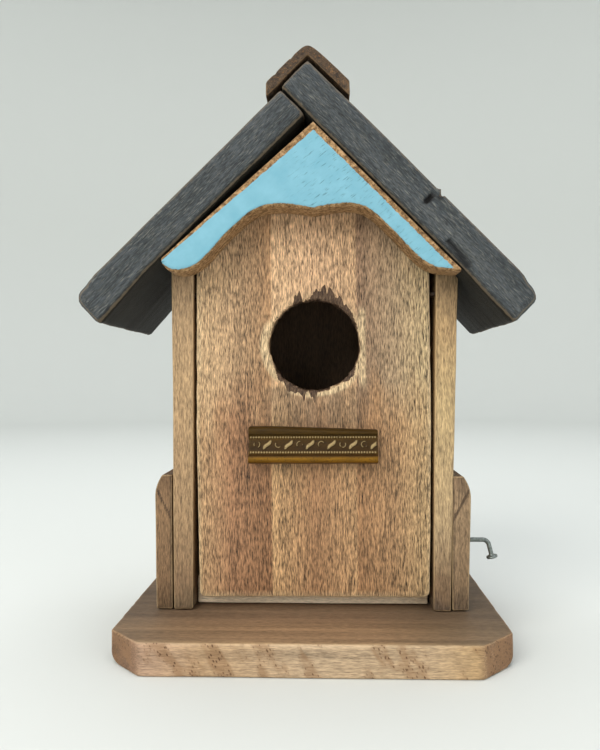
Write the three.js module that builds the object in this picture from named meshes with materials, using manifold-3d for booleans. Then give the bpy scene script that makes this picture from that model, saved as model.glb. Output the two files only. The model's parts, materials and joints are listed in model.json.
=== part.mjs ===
// A wooden birdhouse to hang on a wall, built board by board and nailed together.
// Millimetres. X runs across the front, -Y is the front, +Z is up.
// The origin is under the middle of the base plank.
import * as THREE from 'three';
import { mergeVertices } from 'three/addons/utils/BufferGeometryUtils.js';
import Module from 'manifold-3d';

const wasm = await Module();
wasm.setup();

// ---- Driving sizes -------------------------------------------------------------------------

const GAP = 0.3;                       // clearance kept between neighbouring pieces
const RADIANS = Math.PI / 180;

const BASE = { width: 157, depth: 104, thickness: 12.7, corner: 14.4 };
const REAR = BASE.depth / 2;           // everything ends flush here, to hang flat on a wall
const FRONT = -15.2;                   // front faces of the side walls and of the door
const STOCK = 8.5;                     // thickness of the wall boards

// The side walls are cut by hand: inner and outer faces at the foot, and at HEAD_HEIGHT above it.
const HEAD_HEIGHT = 141;
const LEFT_WALL = { side: -1, footIn: -50.2, footOut: -58.5, headIn: -49.4, headOut: -58.9 };
const RIGHT_WALL = { side: 1, footIn: 51.1, footOut: 58.5, headIn: 53.0, headOut: 62.4 };

// Each roof plank's pitch, thickness, slope length, and the height at x = 0 that its underside
// aims at, above the base plank's top. Past the walls each plank swells towards its lower end.
const LEFT_ROOF = { side: -1, pitch: 44 * RADIANS, thickness: 14.4, length: 134.6, aim: 205.4, swell: 2.4 };
const RIGHT_ROOF = { side: 1, pitch: 45.6 * RADIANS, thickness: 15.9, length: 134, aim: 204.2, swell: 1.5 };
const SWELL_LENGTH = 28;               // length of the swelling part of each plank
const ROOF_OVERHANG = 15.8;            // how far the planks reach out over the front
const EAVE_ROUND = 4;                  // worn corners of the planks' lower ends

const RIDGE = { thickness: 4.8, reach: 17, round: 3, inset: 1, bradReach: 9 };

const FLOOR = { thickness: 12, front: FRONT + STOCK + 0.9, left: -49.9, right: 50.2 };

const DOOR = {
  thickness: STOCK, foot: 5.6, top: 175, roofClearance: 2.6,
  leftFoot: -47.4, leftMiddle: -48.6, leftHead: -48.1,
  rightFoot: 49.8, rightMiddle: 50.9, rightHead: 50.4,
  middleHeight: 79,
};
const ENTRANCE = { x: 1.9, z: 112.4, radius: 19.1 };
const PIVOT_HEIGHT = 134;              // door axis above the base plank's top
const DOOR_MIDDLE = FRONT + DOOR.thickness / 2;

const FASCIA = { thickness: 15, tip: 61.4, middle: 0.6, peak: 2.1 };

const PERCH = { left: -25.6, right: 28, foot: 62.9, height: 15.4, taper: 1.5 };

const TRIM_DEPTH = 60;
const LEFT_TRIM = { side: -1, foot: [59.0, 66.6], middle: [59.3, 66.8], shoulder: 51.5, top: 57.6 };
const RIGHT_TRIM = { side: 1, foot: [59.1, 66.7], middle: [60.5, 67.6], shoulder: 51, top: 57 };

const NAIL_SIDES = 8;
const PIVOT_NAIL = { shank: 1.1, head: 2.5, headThickness: 1, length: 20 };
const WALL_NAIL = { shank: 0.8, head: 1.8, headThickness: 0.8, length: 21 };
const ROOF_NAIL = { shank: 0.9, head: 2.2, headThickness: 0.9, length: 24 };
const BRAD = { shank: 0.6, head: 1.1, headThickness: 0.7, length: 12 };
const SCREW = { shank: 1.6, head: 3.6, headThickness: 2.6, length: 21, countersunk: true };

const LATCH = { height: 29.6, radius: 0.95, tip: 51.2, bend: 72.6, bendRadius: 2.8,
  turn: 76 * RADIANS, leg: 4.6, head: 2.35, headThickness: 1.1, point: 2.5, pocket: 8 };

// Where the fasteners go in.
const SCREW_PLACES = [[-36, 5], [36, 5], [-36, 33], [36, 33]];   // x, y under the base plank
const TRIM_BRAD_PLACES = [[6, 27], [34, 46]];                    // y, height above the base plank
const ROOF_NAIL_PLACES = [-6, 16, 38];                           // y, over the side walls
const ROOF_NAIL_INSET = 3;             // from a side wall's outer face to the nails over it
const ROOF_NAIL_BITE = 6;              // how far those nails go into the wall
const RIDGE_NAIL_PLACES = [-20, 34];                             // y
const RIDGE_NAIL_ALONG = 8;            // down the right plank's slope from the ridge line
const RIDGE_BRAD_PLACES = [-10, 44];                             // y

// ---- Materials -----------------------------------------------------------------------------

const finish = (color, roughness, metalness = 0) => (
  new THREE.MeshStandardMaterial({ color, roughness, metalness })
);
const MATERIALS = {
  base: finish('#8a6b50', 0.75),
  wall: finish('#b58f63', 0.7),
  door: finish('#b08c66', 0.7),
  floor: finish('#b99f7c', 0.8),
  roof: finish('#4b5053', 0.7),
  fascia: finish('#86cfe6', 0.65),
  ridge: finish('#7b5c42', 0.8),
  trim: finish('#93704f', 0.8),
  perch: finish('#5a4a26', 0.45, 0.3),
  steel: finish('#5f6461', 0.45, 0.9),
};

// ---- Helpers -------------------------------------------------------------------------------

const aboveBase = (height) => BASE.thickness + height;

/** Closed shape through [x, z] corners; a third number rounds that corner by its radius. */
function outline(corners) {
  const shape = new THREE.Shape();
  const at = (index) => corners[(index + corners.length) % corners.length];
  const towards = (from, to, distance) => {
    const step = new THREE.Vector2(to[0] - from[0], to[1] - from[1]).setLength(distance);
    return [from[0] + step.x, from[1] + step.y];
  };
  corners.forEach((corner, index) => {
    const radius = corner[2] ?? 0;
    const entry = towards(corner, at(index - 1), radius);
    if (index === 0) shape.moveTo(...entry); else shape.lineTo(...entry);
    if (radius > 0) shape.quadraticCurveTo(corner[0], corner[1], ...towards(corner, at(index + 1), radius));
  });
  shape.closePath();
  return shape;
}

/** A board whose outline is seen from the front, cut from `front` to `front + depth` in Y. */
function frontBoard(name, shape, front, depth, material, curveSegments = 4) {
  const geometry = new THREE.ExtrudeGeometry(shape, { depth, bevelEnabled: false, curveSegments });
  const mesh = new THREE.Mesh(geometry, material);
  mesh.name = name;
  mesh.rotation.x = Math.PI / 2;
  mesh.position.y = front + depth;
  return mesh;
}

/** The mesh as a manifold solid, placed where the scene graph puts it. */
function toSolid(mesh) {
  mesh.updateMatrixWorld(true);
  let geometry = mesh.geometry.clone().applyMatrix4(mesh.matrixWorld);
  geometry.deleteAttribute('normal');
  geometry.deleteAttribute('uv');
  geometry = mergeVertices(geometry, 1e-4);
  return new wasm.Manifold(new wasm.Mesh({
    numProp: 3,
    vertProperties: new Float32Array(geometry.attributes.position.array),
    triVerts: new Uint32Array(geometry.index.array),
  }));
}

/** A named mesh made from a manifold solid. */
function toMesh(name, solid, material) {
  const { vertProperties, triVerts } = solid.getMesh();
  const geometry = new THREE.BufferGeometry();
  geometry.setAttribute('position', new THREE.BufferAttribute(vertProperties, 3));
  geometry.setIndex(new THREE.BufferAttribute(triVerts, 1));
  geometry.computeVertexNormals();
  const mesh = new THREE.Mesh(geometry, material);
  mesh.name = name;
  return mesh;
}

/** Stands a shape turned about its own +Y axis on `start`, with +Y along `direction`. */
function aim(mesh, start, direction) {
  mesh.position.set(...start);
  mesh.quaternion.setFromUnitVectors(
    new THREE.Vector3(0, 1, 0), new THREE.Vector3(...direction).normalize());
  return mesh;
}

/** A turned nail or screw from the top of its head to its point, made larger all round by `grow`. */
function nailGeometry({ shank, head, headThickness, length, countersunk = false }, grow = 0) {
  const neck = headThickness + grow;
  const underHead = countersunk ? neck + 0.2 : neck;
  const point = shank * 2;
  const profile = [
    [0, -grow], [head + grow, -grow], [countersunk ? shank + grow + 0.4 : head + grow, neck],
    [shank + grow, underHead], [shank + grow, length - point + grow], [0, length + grow],
  ];
  return new THREE.LatheGeometry(profile.map(([r, y]) => new THREE.Vector2(r, y)), NAIL_SIDES);
}

const pieces = new Map();              // every sub-part by its name
const pockets = new Map();             // for each board, the solids to be cut out of it

const add = (mesh) => pieces.set(mesh.name, mesh);

const cutFrom = (boardNames, tool) => boardNames.forEach((board) => {
  pockets.set(board, [...(pockets.get(board) ?? []), toSolid(tool)]);
});

/** Drives a nail into the boards it holds: the nail itself, and its pocket in each board. */
function drive(name, kind, start, direction, boards) {
  const nail = aim(new THREE.Mesh(nailGeometry(kind), MATERIALS.steel), start, direction);
  nail.name = name;
  add(nail);
  cutFrom(boards, aim(new THREE.Mesh(nailGeometry(kind, GAP)), start, direction));
}

// ---- Roof lines ----------------------------------------------------------------------------

/** Height of a roof plank's underside at x, lowered at right angles to it by `clearance`. */
const underside = (roof, x, clearance = 0) => (
  aboveBase(roof.aim) - Math.tan(roof.pitch) * roof.side * x - clearance / Math.cos(roof.pitch)
);

/** Point at `along` down the slope from the ridge line and `into` below the plank's top face. */
function onRoof(roof, along, into) {
  const cos = Math.cos(roof.pitch);
  const sin = Math.sin(roof.pitch);
  const ridge = aboveBase(roof.aim) + roof.thickness / cos;
  return [roof.side * (along * cos - into * sin), ridge - along * sin - into * cos];
}

/** Where the undersides of both planks, lowered by `clearance`, meet. */
function innerRidge(clearance) {
  const slopes = Math.tan(LEFT_ROOF.pitch) + Math.tan(RIGHT_ROOF.pitch);
  const x = (underside(RIGHT_ROOF, 0, clearance) - underside(LEFT_ROOF, 0, clearance)) / slopes;
  return [x, underside(RIGHT_ROOF, x, clearance)];
}

// ---- Boards --------------------------------------------------------------------------------

function basePlank() {
  const half = BASE.width / 2;
  const corners = [
    [-half, REAR], [-half, -REAR + BASE.corner], [-half + BASE.corner, -REAR],
    [half - BASE.corner, -REAR], [half, -REAR + BASE.corner], [half, REAR],
  ];
  const geometry = new THREE.ExtrudeGeometry(
    outline(corners), { depth: BASE.thickness, bevelEnabled: false });
  const mesh = new THREE.Mesh(geometry, MATERIALS.base);
  mesh.name = 'base_plank';
  return mesh;
}

function floorBoard() {
  const foot = aboveBase(GAP);
  const top = foot + FLOOR.thickness;
  const corners = [[FLOOR.left, foot], [FLOOR.right, foot], [FLOOR.right, top], [FLOOR.left, top]];
  const depth = REAR - STOCK - GAP - FLOOR.front;
  return frontBoard('floor_board', outline(corners), FLOOR.front, depth, MATERIALS.floor);
}

/** A side wall's face at a height: a straight line from its foot to its head. */
const wallFace = (foot, head, z) => foot + (head - foot) * (z - BASE.thickness) / HEAD_HEIGHT;

/** Where a wall face meets the roof plank's underside above it. */
function wallTop(roof, foot, head) {
  let z = aboveBase(HEAD_HEIGHT);
  for (let round = 0; round < 20; round += 1) z = underside(roof, wallFace(foot, head, z), GAP);
  return [wallFace(foot, head, z), z];
}

function sideWall(name, wall, roof) {
  const foot = aboveBase(GAP);
  const corners = [
    [wall.footIn, foot], [wall.footOut, foot],
    wallTop(roof, wall.footOut, wall.headOut), wallTop(roof, wall.footIn, wall.headIn),
  ];
  return frontBoard(name, outline(corners), FRONT, REAR - FRONT, MATERIALS.wall);
}

function backWall() {
  const foot = aboveBase(GAP);
  const inside = (wall, roof) => {
    const top = wallTop(roof, wall.footIn, wall.headIn);
    return [top[0] - wall.side * GAP, underside(roof, top[0] - wall.side * GAP, GAP)];
  };
  const corners = [
    [LEFT_WALL.footIn + GAP, foot], [RIGHT_WALL.footIn - GAP, foot],
    inside(RIGHT_WALL, RIGHT_ROOF), innerRidge(GAP), inside(LEFT_WALL, LEFT_ROOF),
  ];
  const board = outline(corners);
  board.holes.push(hangHole());
  return frontBoard('back_wall', board, REAR - STOCK, STOCK, MATERIALS.wall, 5);
}

/** Keyhole near the top of the back wall: a nail's head goes in low and its shank slides up. */
const HANG_HOLE = { x: 0, z: 168, headRadius: 5, slotHalf: 2.6, slotTop: 12 };
function hangHole() {
  const { x, z, headRadius, slotHalf, slotTop } = HANG_HOLE;
  const open = Math.asin(slotHalf / headRadius);
  const hole = new THREE.Path();
  hole.moveTo(x + slotHalf, aboveBase(z + slotTop));
  hole.absarc(x, aboveBase(z + slotTop), slotHalf, 0, Math.PI, false);
  hole.absarc(x, aboveBase(z), headRadius, Math.PI / 2 + open, Math.PI / 2 - open + 2 * Math.PI, false);
  hole.closePath();
  return hole;
}

function roofPlank(name, corners) {
  const front = FRONT - ROOF_OVERHANG;
  return frontBoard(name, outline(corners), front, REAR - front, MATERIALS.roof);
}

/** The right plank runs up to the ridge, with both ends cut square. */
function rightRoofPlank() {
  const { length, thickness, swell } = RIGHT_ROOF;
  return roofPlank('right_roof_plank', [
    onRoof(RIGHT_ROOF, 0, 0), onRoof(RIGHT_ROOF, 0, thickness),
    onRoof(RIGHT_ROOF, length - SWELL_LENGTH, thickness),
    [...onRoof(RIGHT_ROOF, length, thickness + swell), EAVE_ROUND / 2],
    [...onRoof(RIGHT_ROOF, length, 0), EAVE_ROUND],
  ]);
}

/** The left plank's upper end is cut to butt against the right plank's underside. */
function leftRoofPlank() {
  const { pitch, length, thickness, swell } = LEFT_ROOF;
  const meet = (topFace) => {
    const rise = topFace ? thickness / Math.cos(pitch) : 0;
    const slopes = Math.tan(pitch) + Math.tan(RIGHT_ROOF.pitch);
    const x = (underside(RIGHT_ROOF, 0, GAP) - underside(LEFT_ROOF, 0) - rise) / slopes;
    return [x, underside(RIGHT_ROOF, x, GAP)];
  };
  return roofPlank('left_roof_plank', [
    meet(true), [...onRoof(LEFT_ROOF, length, 0), EAVE_ROUND],
    [...onRoof(LEFT_ROOF, length, thickness + swell), EAVE_ROUND / 2],
    onRoof(LEFT_ROOF, length - SWELL_LENGTH, thickness), meet(false),
  ]);
}

/** Heights at x = 0 where the ridge cap's inner and outer faces aim, before its top is rounded. */
const ridgeCapInside = () => onRoof(RIGHT_ROOF, 0, 0)[1] + GAP / Math.cos(RIGHT_ROOF.pitch);
const ridgeCapTop = () => ridgeCapInside() + RIDGE.thickness / Math.cos(RIGHT_ROOF.pitch);

/** Outside-corner moulding over the ridge, its arms ending plumb. */
function ridgeCap() {
  const { reach, round, inset } = RIDGE;
  const inner = ridgeCapInside();
  const outer = ridgeCapTop();
  const corners = [
    [0, outer, round], [-reach, outer - reach, 0.8], [-reach, inner - reach],
    [0, inner], [reach, inner - reach], [reach, outer - reach, 0.8],
  ];
  const front = FRONT - ROOF_OVERHANG + inset;
  return frontBoard('ridge_cap', outline(corners), front, REAR - inset - front, MATERIALS.ridge);
}

/** Blue board under the roof's front: gable-shaped above, a bracket scallop below. */
function gableFascia() {
  const { thickness, tip, middle, peak } = FASCIA;
  const at = (side, across, height) => [middle + side * across, aboveBase(height)];
  const end = (side, roof) => {
    const x = middle + side * tip;
    return [x, underside(roof, x, GAP)];
  };
  // Each half of the scallop: round nose, rise to the shoulder, shoulder down to the middle cusp.
  const shape = new THREE.Shape();
  shape.moveTo(peak, underside(RIGHT_ROOF, peak, GAP));
  shape.lineTo(...end(-1, LEFT_ROOF));
  shape.quadraticCurveTo(...at(-1, 58, 141.4), ...at(-1, 53.9, 141.4));
  shape.bezierCurveTo(...at(-1, 43.4, 141.9), ...at(-1, 40.8, 150.5), ...at(-1, 30.3, 159.6));
  shape.bezierCurveTo(...at(-1, 22.7, 166.6), ...at(-1, 19.2, 170.2), ...at(1, 1.6, 165.9));
  shape.bezierCurveTo(...at(1, 20.2, 170.2), ...at(1, 23.2, 166.6), ...at(1, 30.3, 159.6));
  shape.bezierCurveTo(...at(1, 40.8, 149.5), ...at(1, 44.4, 141.4), ...at(1, 54.4, 141));
  shape.quadraticCurveTo(...at(1, 58.7, 141), ...end(1, RIGHT_ROOF));
  shape.closePath();
  return frontBoard('gable_fascia', shape, FRONT - GAP - thickness, thickness, MATERIALS.fascia, 7);
}

/** The door: skewed by hand sawing, its top cut off where it has to swing clear inside. */
function frontDoor() {
  const { foot, top, roofClearance, middleHeight } = DOOR;
  const shoulder = (roof, x) => [x, underside(roof, x, roofClearance)];
  const topCorner = (roof) => {
    const x = roof.side * (underside(roof, 0, roofClearance) - aboveBase(top)) / Math.tan(roof.pitch);
    return [x, aboveBase(top), 1.5];
  };
  const board = outline([
    [DOOR.leftFoot, aboveBase(foot), 2.6], [DOOR.rightFoot, aboveBase(foot + 0.4), 3],
    [DOOR.rightMiddle, aboveBase(middleHeight)],
    shoulder(RIGHT_ROOF, DOOR.rightHead), topCorner(RIGHT_ROOF),
    topCorner(LEFT_ROOF), shoulder(LEFT_ROOF, DOOR.leftHead),
    [DOOR.leftMiddle, aboveBase(middleHeight)],
  ]);
  const entrance = new THREE.Path();
  entrance.absarc(ENTRANCE.x, aboveBase(ENTRANCE.z), ENTRANCE.radius, 0, 2 * Math.PI, true);
  board.holes.push(entrance);
  return frontBoard('front_door', board, FRONT, DOOR.thickness, MATERIALS.door, 12);
}

/** Picture-frame moulding: plain top band, hollow with an ornament, and a round gilt lip. */
function perchMoulding() {
  const { left, right, foot, height, taper } = PERCH;
  const profile = [                    // [out from the door, up from the foot]
    [0, 0], [5.2, 0], [8.2, 0.8, 0.6], [8.8, 2.2, 0.6], [8.2, 3.6, 0.6], [6.6, 4.2],
    [6.2, 5.6], [5.0, 10.2], [5.2, 11.8], [6.0, 12.3], [6.4, height - 1.2, 1], [4.6, height], [0, height],
  ];
  const geometry = new THREE.ExtrudeGeometry(
    outline(profile), { depth: right - left, bevelEnabled: false, curveSegments: 2 });
  const bar = new THREE.Mesh(geometry, MATERIALS.perch);
  bar.rotation.set(Math.PI / 2, -Math.PI / 2, 0);   // profile out to -Y and up, length along X
  bar.position.set(right, FRONT - GAP, aboveBase(foot));

  // The upper face is planed down towards the right end by a wedge, larger than the bar all round.
  const start = left + 10;
  const past = right + 1;
  const shaving = outline([
    [start, height + 0.1], [past, height + 0.1 - taper], [past, height + 3], [start, height + 3],
  ]);
  const planed = new THREE.Mesh(new THREE.ExtrudeGeometry(shaving, { depth: 20, bevelEnabled: false }));
  planed.rotation.x = Math.PI / 2;
  planed.position.set(0, FRONT + 1, aboveBase(foot));
  return toMesh('perch_moulding', toSolid(bar).subtract(toSolid(planed)), MATERIALS.perch);
}

/** Short board standing beside a wall's foot, its outer top corner worn round. */
function sideTrim(name, { side, foot, middle, shoulder, top }) {
  const low = aboveBase(GAP);
  const corners = [
    [side * foot[0], low], [side * foot[1], low, 0.8],
    [side * middle[1], aboveBase(shoulder - 30)], [side * middle[1], aboveBase(shoulder + 1), 3],
    [side * (middle[1] - 3.5), aboveBase(top - 1), 2], [side * middle[0], aboveBase(top)],
  ];
  return frontBoard(name, outline(corners), FRONT + 0.6, TRIM_DEPTH, MATERIALS.trim);
}

for (const board of [
  basePlank(), floorBoard(), backWall(), leftRoofPlank(), rightRoofPlank(), ridgeCap(),
  sideWall('left_wall', LEFT_WALL, LEFT_ROOF), sideWall('right_wall', RIGHT_WALL, RIGHT_ROOF),
  gableFascia(), frontDoor(), perchMoulding(),
  sideTrim('left_side_trim', LEFT_TRIM), sideTrim('right_side_trim', RIGHT_TRIM),
]) add(board);

// ---- Latch nail ----------------------------------------------------------------------------

/** Centre line of the bent nail: straight in along X, then turned down to its head. */
function latchPath() {
  const y = DOOR_MIDDLE;
  const z = aboveBase(LATCH.height);
  const { bend, bendRadius, turn, leg } = LATCH;
  const onBend = (angle) => new THREE.Vector3(
    bend + bendRadius * Math.sin(angle), y, z - bendRadius * (1 - Math.cos(angle)));
  const path = new THREE.CurvePath();
  path.add(new THREE.LineCurve3(new THREE.Vector3(LATCH.tip + LATCH.point, y, z), onBend(0)));
  const steps = 6;
  for (let step = 0; step < steps; step += 1) {
    path.add(new THREE.LineCurve3(onBend(turn * step / steps), onBend(turn * (step + 1) / steps)));
  }
  const down = new THREE.Vector3(Math.cos(turn), 0, -Math.sin(turn));
  path.add(new THREE.LineCurve3(onBend(turn), onBend(turn).addScaledVector(down, leg)));
  return { path, down, end: onBend(turn).addScaledVector(down, leg) };
}

function circle(radius, sides) {
  const points = Array.from({ length: sides }, (_, index) => {
    const angle = 2 * Math.PI * index / sides;
    return new THREE.Vector2(radius * Math.cos(angle), radius * Math.sin(angle));
  });
  return new THREE.Shape(points);
}

function latchNail() {
  const { path, down, end } = latchPath();
  const sides = 10;
  const shank = new THREE.Mesh(new THREE.ExtrudeGeometry(
    circle(LATCH.radius, sides), { extrudePath: path, steps: 36, bevelEnabled: false }));
  const point = aim(new THREE.Mesh(new THREE.LatheGeometry([
    new THREE.Vector2(0, 0), new THREE.Vector2(LATCH.radius, LATCH.point),
    new THREE.Vector2(LATCH.radius, LATCH.point + 1), new THREE.Vector2(0, LATCH.point + 1),
  ], sides)), [LATCH.tip, DOOR_MIDDLE, aboveBase(LATCH.height)], [1, 0, 0]);
  const head = aim(new THREE.Mesh(new THREE.LatheGeometry([
    new THREE.Vector2(0, -0.6), new THREE.Vector2(LATCH.radius, -0.6),
    new THREE.Vector2(LATCH.head, 0), new THREE.Vector2(LATCH.head, LATCH.headThickness),
    new THREE.Vector2(0, LATCH.headThickness),
  ], 12)), end.toArray(), down.toArray());
  const solid = toSolid(shank).add(toSolid(point)).add(toSolid(head));
  return toMesh('latch_nail', solid, MATERIALS.steel);
}

/** Straight bore along X, from one x to another, for a nail that slides or turns in it. */
function bore(from, to, radius, height) {
  const mesh = new THREE.Mesh(new THREE.CylinderGeometry(radius, radius, to - from, 12));
  mesh.rotation.z = Math.PI / 2;
  mesh.position.set((from + to) / 2, DOOR_MIDDLE, aboveBase(height));
  return mesh;
}

add(latchNail());
const latchBore = LATCH.radius + GAP;
cutFrom(['right_wall', 'right_side_trim'], bore(LATCH.tip - 1, LATCH.bend, latchBore, LATCH.height));
cutFrom(['front_door'], bore(LATCH.tip - LATCH.pocket, LATCH.tip, latchBore, LATCH.height));

// ---- Fasteners -----------------------------------------------------------------------------

for (const [name, wall, boards] of [
  ['left_pivot_nail', LEFT_WALL, ['left_wall', 'front_door']],
  ['right_pivot_nail', RIGHT_WALL, ['right_wall', 'front_door']],
]) {
  const z = aboveBase(PIVOT_HEIGHT);
  const face = wallFace(wall.footOut, wall.headOut, z);
  drive(name, PIVOT_NAIL, [face, DOOR_MIDDLE, z], [-wall.side, 0, 0], boards);
}

// Screws up through the base plank into the floor board.
for (const [index, [x, y]] of SCREW_PLACES.entries()) {
  drive(`base_screw_${index + 1}`, SCREW, [x, y, 0], [0, 0, 1], ['base_plank', 'floor_board']);
}

// Nails through the side walls, into the floor board's ends and the back wall's edges.
const WALL_NAIL_PLACES = [             // node, board it holds, y, height above the base plank
  ['floor_nail', 'floor_board', 40, 6.5],
  ['back_nail_1', 'back_wall', REAR - STOCK / 2, 70],
  ['back_nail_2', 'back_wall', REAR - STOCK / 2, 128],
];
for (const [side, wall] of [['left', LEFT_WALL], ['right', RIGHT_WALL]]) {
  for (const [nail, held, y, height] of WALL_NAIL_PLACES) {
    const z = aboveBase(height);
    const start = [wallFace(wall.footOut, wall.headOut, z), y, z];
    drive(`${side}_${nail}`, WALL_NAIL, start, [-wall.side, 0, 0], [`${side}_wall`, held]);
  }
}

// Brads through each side trim into the wall behind it.
for (const [side, trim] of [['left', LEFT_TRIM], ['right', RIGHT_TRIM]]) {
  for (const [index, [y, height]] of TRIM_BRAD_PLACES.entries()) {
    drive(`${side}_trim_brad_${index + 1}`, BRAD, [trim.side * trim.middle[1], y, aboveBase(height)],
      [-trim.side, 0, 0], [`${side}_side_trim`, `${side}_wall`]);
  }
}

// Nails through each roof plank into the bevelled top of the wall below it.
for (const [side, roof, wall] of [['left', LEFT_ROOF, LEFT_WALL], ['right', RIGHT_ROOF, RIGHT_WALL]]) {
  const entry = Math.abs(wall.headOut) - ROOF_NAIL_INSET;
  const along = (entry + roof.thickness * Math.sin(roof.pitch)) / Math.cos(roof.pitch);
  const inwards = [-roof.side * Math.sin(roof.pitch), 0, -Math.cos(roof.pitch)];
  for (const [index, y] of ROOF_NAIL_PLACES.entries()) {
    const [x, z] = onRoof(roof, along, 0);
    drive(`${side}_roof_nail_${index + 1}`, { ...ROOF_NAIL, length: roof.thickness + ROOF_NAIL_BITE },
      [x, y, z], inwards, [`${side}_roof_plank`, `${side}_wall`]);
  }
}

// Nails through the right plank into the upper end of the left one.
for (const [index, y] of RIDGE_NAIL_PLACES.entries()) {
  const [x, z] = onRoof(RIGHT_ROOF, RIDGE_NAIL_ALONG, 0);
  drive(`ridge_nail_${index + 1}`, ROOF_NAIL, [x, y, z],
    [-Math.sin(RIGHT_ROOF.pitch), 0, -Math.cos(RIGHT_ROOF.pitch)],
    ['right_roof_plank', 'left_roof_plank']);
}

// Brads through both arms of the ridge cap into the right plank, whose end is the ridge.
for (const [side, sign] of [['left', -1], ['right', 1]]) {
  for (const [index, y] of RIDGE_BRAD_PLACES.entries()) {
    drive(`${side}_ridge_brad_${index + 1}`, BRAD,
      [sign * RIDGE.bradReach, y, ridgeCapTop() - RIDGE.bradReach], [-sign, 0, -1],
      ['ridge_cap', 'right_roof_plank']);
  }
}

const group = new THREE.Group();
for (const [name, mesh] of pieces) {
  const tools = pockets.get(name);
  if (!tools) {
    group.add(mesh);
    continue;
  }
  const cut = tools.reduce((solid, tool) => solid.subtract(tool), toSolid(mesh));
  group.add(toMesh(name, cut, mesh.material));
}

export default group;
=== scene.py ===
# %% [markdown]
# # A nailed wooden birdhouse
# The house is a small box of reclaimed boards under a steep roof. Its shape, sizes and joints
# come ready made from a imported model, the frame. This file gives every board its hand-worked
# surface: rounded corners, rubbed edges, grain, dents and nail heads. Before each step a few
# sentences say what the piece is and why it is made the way it is.

# %% Load the frame
import itertools
import json
import math

import bpy
import numpy as np
from mathutils import Matrix, Vector

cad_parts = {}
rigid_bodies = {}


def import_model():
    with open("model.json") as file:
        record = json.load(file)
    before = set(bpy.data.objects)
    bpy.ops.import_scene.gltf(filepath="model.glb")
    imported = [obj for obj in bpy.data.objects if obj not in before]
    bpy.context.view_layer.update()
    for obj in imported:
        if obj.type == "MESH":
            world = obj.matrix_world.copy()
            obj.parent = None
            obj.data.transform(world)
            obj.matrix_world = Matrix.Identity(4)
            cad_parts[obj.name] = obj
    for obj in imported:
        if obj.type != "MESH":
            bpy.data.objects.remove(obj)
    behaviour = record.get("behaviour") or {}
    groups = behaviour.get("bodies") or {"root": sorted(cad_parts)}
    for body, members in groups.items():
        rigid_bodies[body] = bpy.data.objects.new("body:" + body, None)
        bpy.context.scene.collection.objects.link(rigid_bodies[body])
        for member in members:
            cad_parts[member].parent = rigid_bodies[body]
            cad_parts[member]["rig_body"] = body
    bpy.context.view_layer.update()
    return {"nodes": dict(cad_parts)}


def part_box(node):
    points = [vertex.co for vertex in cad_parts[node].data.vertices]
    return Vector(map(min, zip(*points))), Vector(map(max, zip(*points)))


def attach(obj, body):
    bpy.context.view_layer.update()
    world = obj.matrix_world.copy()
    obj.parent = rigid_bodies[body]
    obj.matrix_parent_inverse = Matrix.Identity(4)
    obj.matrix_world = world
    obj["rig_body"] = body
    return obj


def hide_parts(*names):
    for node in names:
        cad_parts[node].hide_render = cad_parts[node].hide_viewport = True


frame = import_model()
MM = 0.001                      # the frame is in metres, a maker thinks in millimetres

# %% [markdown]
# ## Reading sizes off the frame
# Nothing is measured twice. A straight board needs only its box. A leaning or sloping board is
# found by asking how far its corners reach in a direction: that distance is the support of the
# shape, and two of them give a corner even where the frame's own corner is worn round.


# %% Boxes, corners and reaches of the frame's boards
def corners_of(node):
    """All corners of a node's frame mesh, as rows of x, y, z in millimetres."""
    mesh = frame["nodes"][node].data
    flat = np.empty(len(mesh.vertices) * 3)
    mesh.vertices.foreach_get("co", flat)
    return flat.reshape(-1, 3) / MM


def box_mm(node):
    """Lowest and highest corner of a node, in millimetres."""
    low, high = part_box(node)
    return np.array(low) / MM, np.array(high) / MM


def furthest(node, x, z):
    """The corner, as x and z, that lies furthest towards the direction x, z."""
    points = corners_of(node)[:, (0, 2)]
    return points[np.argmax(points @ (x, z))]


def square_corner(node, first, second):
    """Where the furthest lines across two directions at right angles meet."""
    points = corners_of(node)[:, (0, 2)]
    first, second = np.asarray(first), np.asarray(second)
    return first * (points @ first).max() + second * (points @ second).max()


base_low, base_high = box_mm("base_plank")
BASE_TOP = base_high[2]
print("base plank, mm:", np.round(base_high - base_low, 1))

# %% [markdown]
# ## Noise, the maker's unevenness
# Hand-sawn wood is never flat or straight. Smooth noise supplies that: numbers on the corners
# of a lattice, blended between them. A longer lattice along the grain turns round blotches into
# fibres. The numbers come from a fixed scramble of whole numbers, so every run gives the same.


# %% Smooth noise on whole arrays
def lattice_value(cell, seed):
    """Repeatable number from 0 to 1 for whole-number cells: products and shifts mix the digits."""
    x, y, z = (cell[:, axis].astype(np.int64) for axis in range(3))
    mix = (x * 374761393 + y * 668265263 + z * 2246822519 + seed * 974634777) & 0xFFFFFFFF
    mix = ((mix ^ (mix >> 13)) * 1274126177) & 0xFFFFFFFF
    return (mix ^ (mix >> 16)) / float(0xFFFFFFFF)


def soft_noise(points, period, seed=0):
    """Noise from -1 to 1: the values at the 8 cell corners, weighted by s = 3f^2 - 2f^3."""
    place = np.asarray(points, float) / np.asarray(period, float) + 1000.0
    cell = np.floor(place)
    share = place - cell
    share = share * share * (3 - 2 * share)
    total = np.zeros(len(place))
    for corner in itertools.product((0, 1), repeat=3):
        weight = np.prod(np.where(corner, share, 1 - share), axis=1)
        total += weight * lattice_value(cell + corner, seed)
    return total * 2 - 1


def ramp(value, start, end):
    """Smooth ramp: 0 at start, 1 at end, 3f^2 - 2f^3 between them."""
    share = np.clip((value - start) / (end - start), 0, 1)
    return share * share * (3 - 2 * share)


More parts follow.
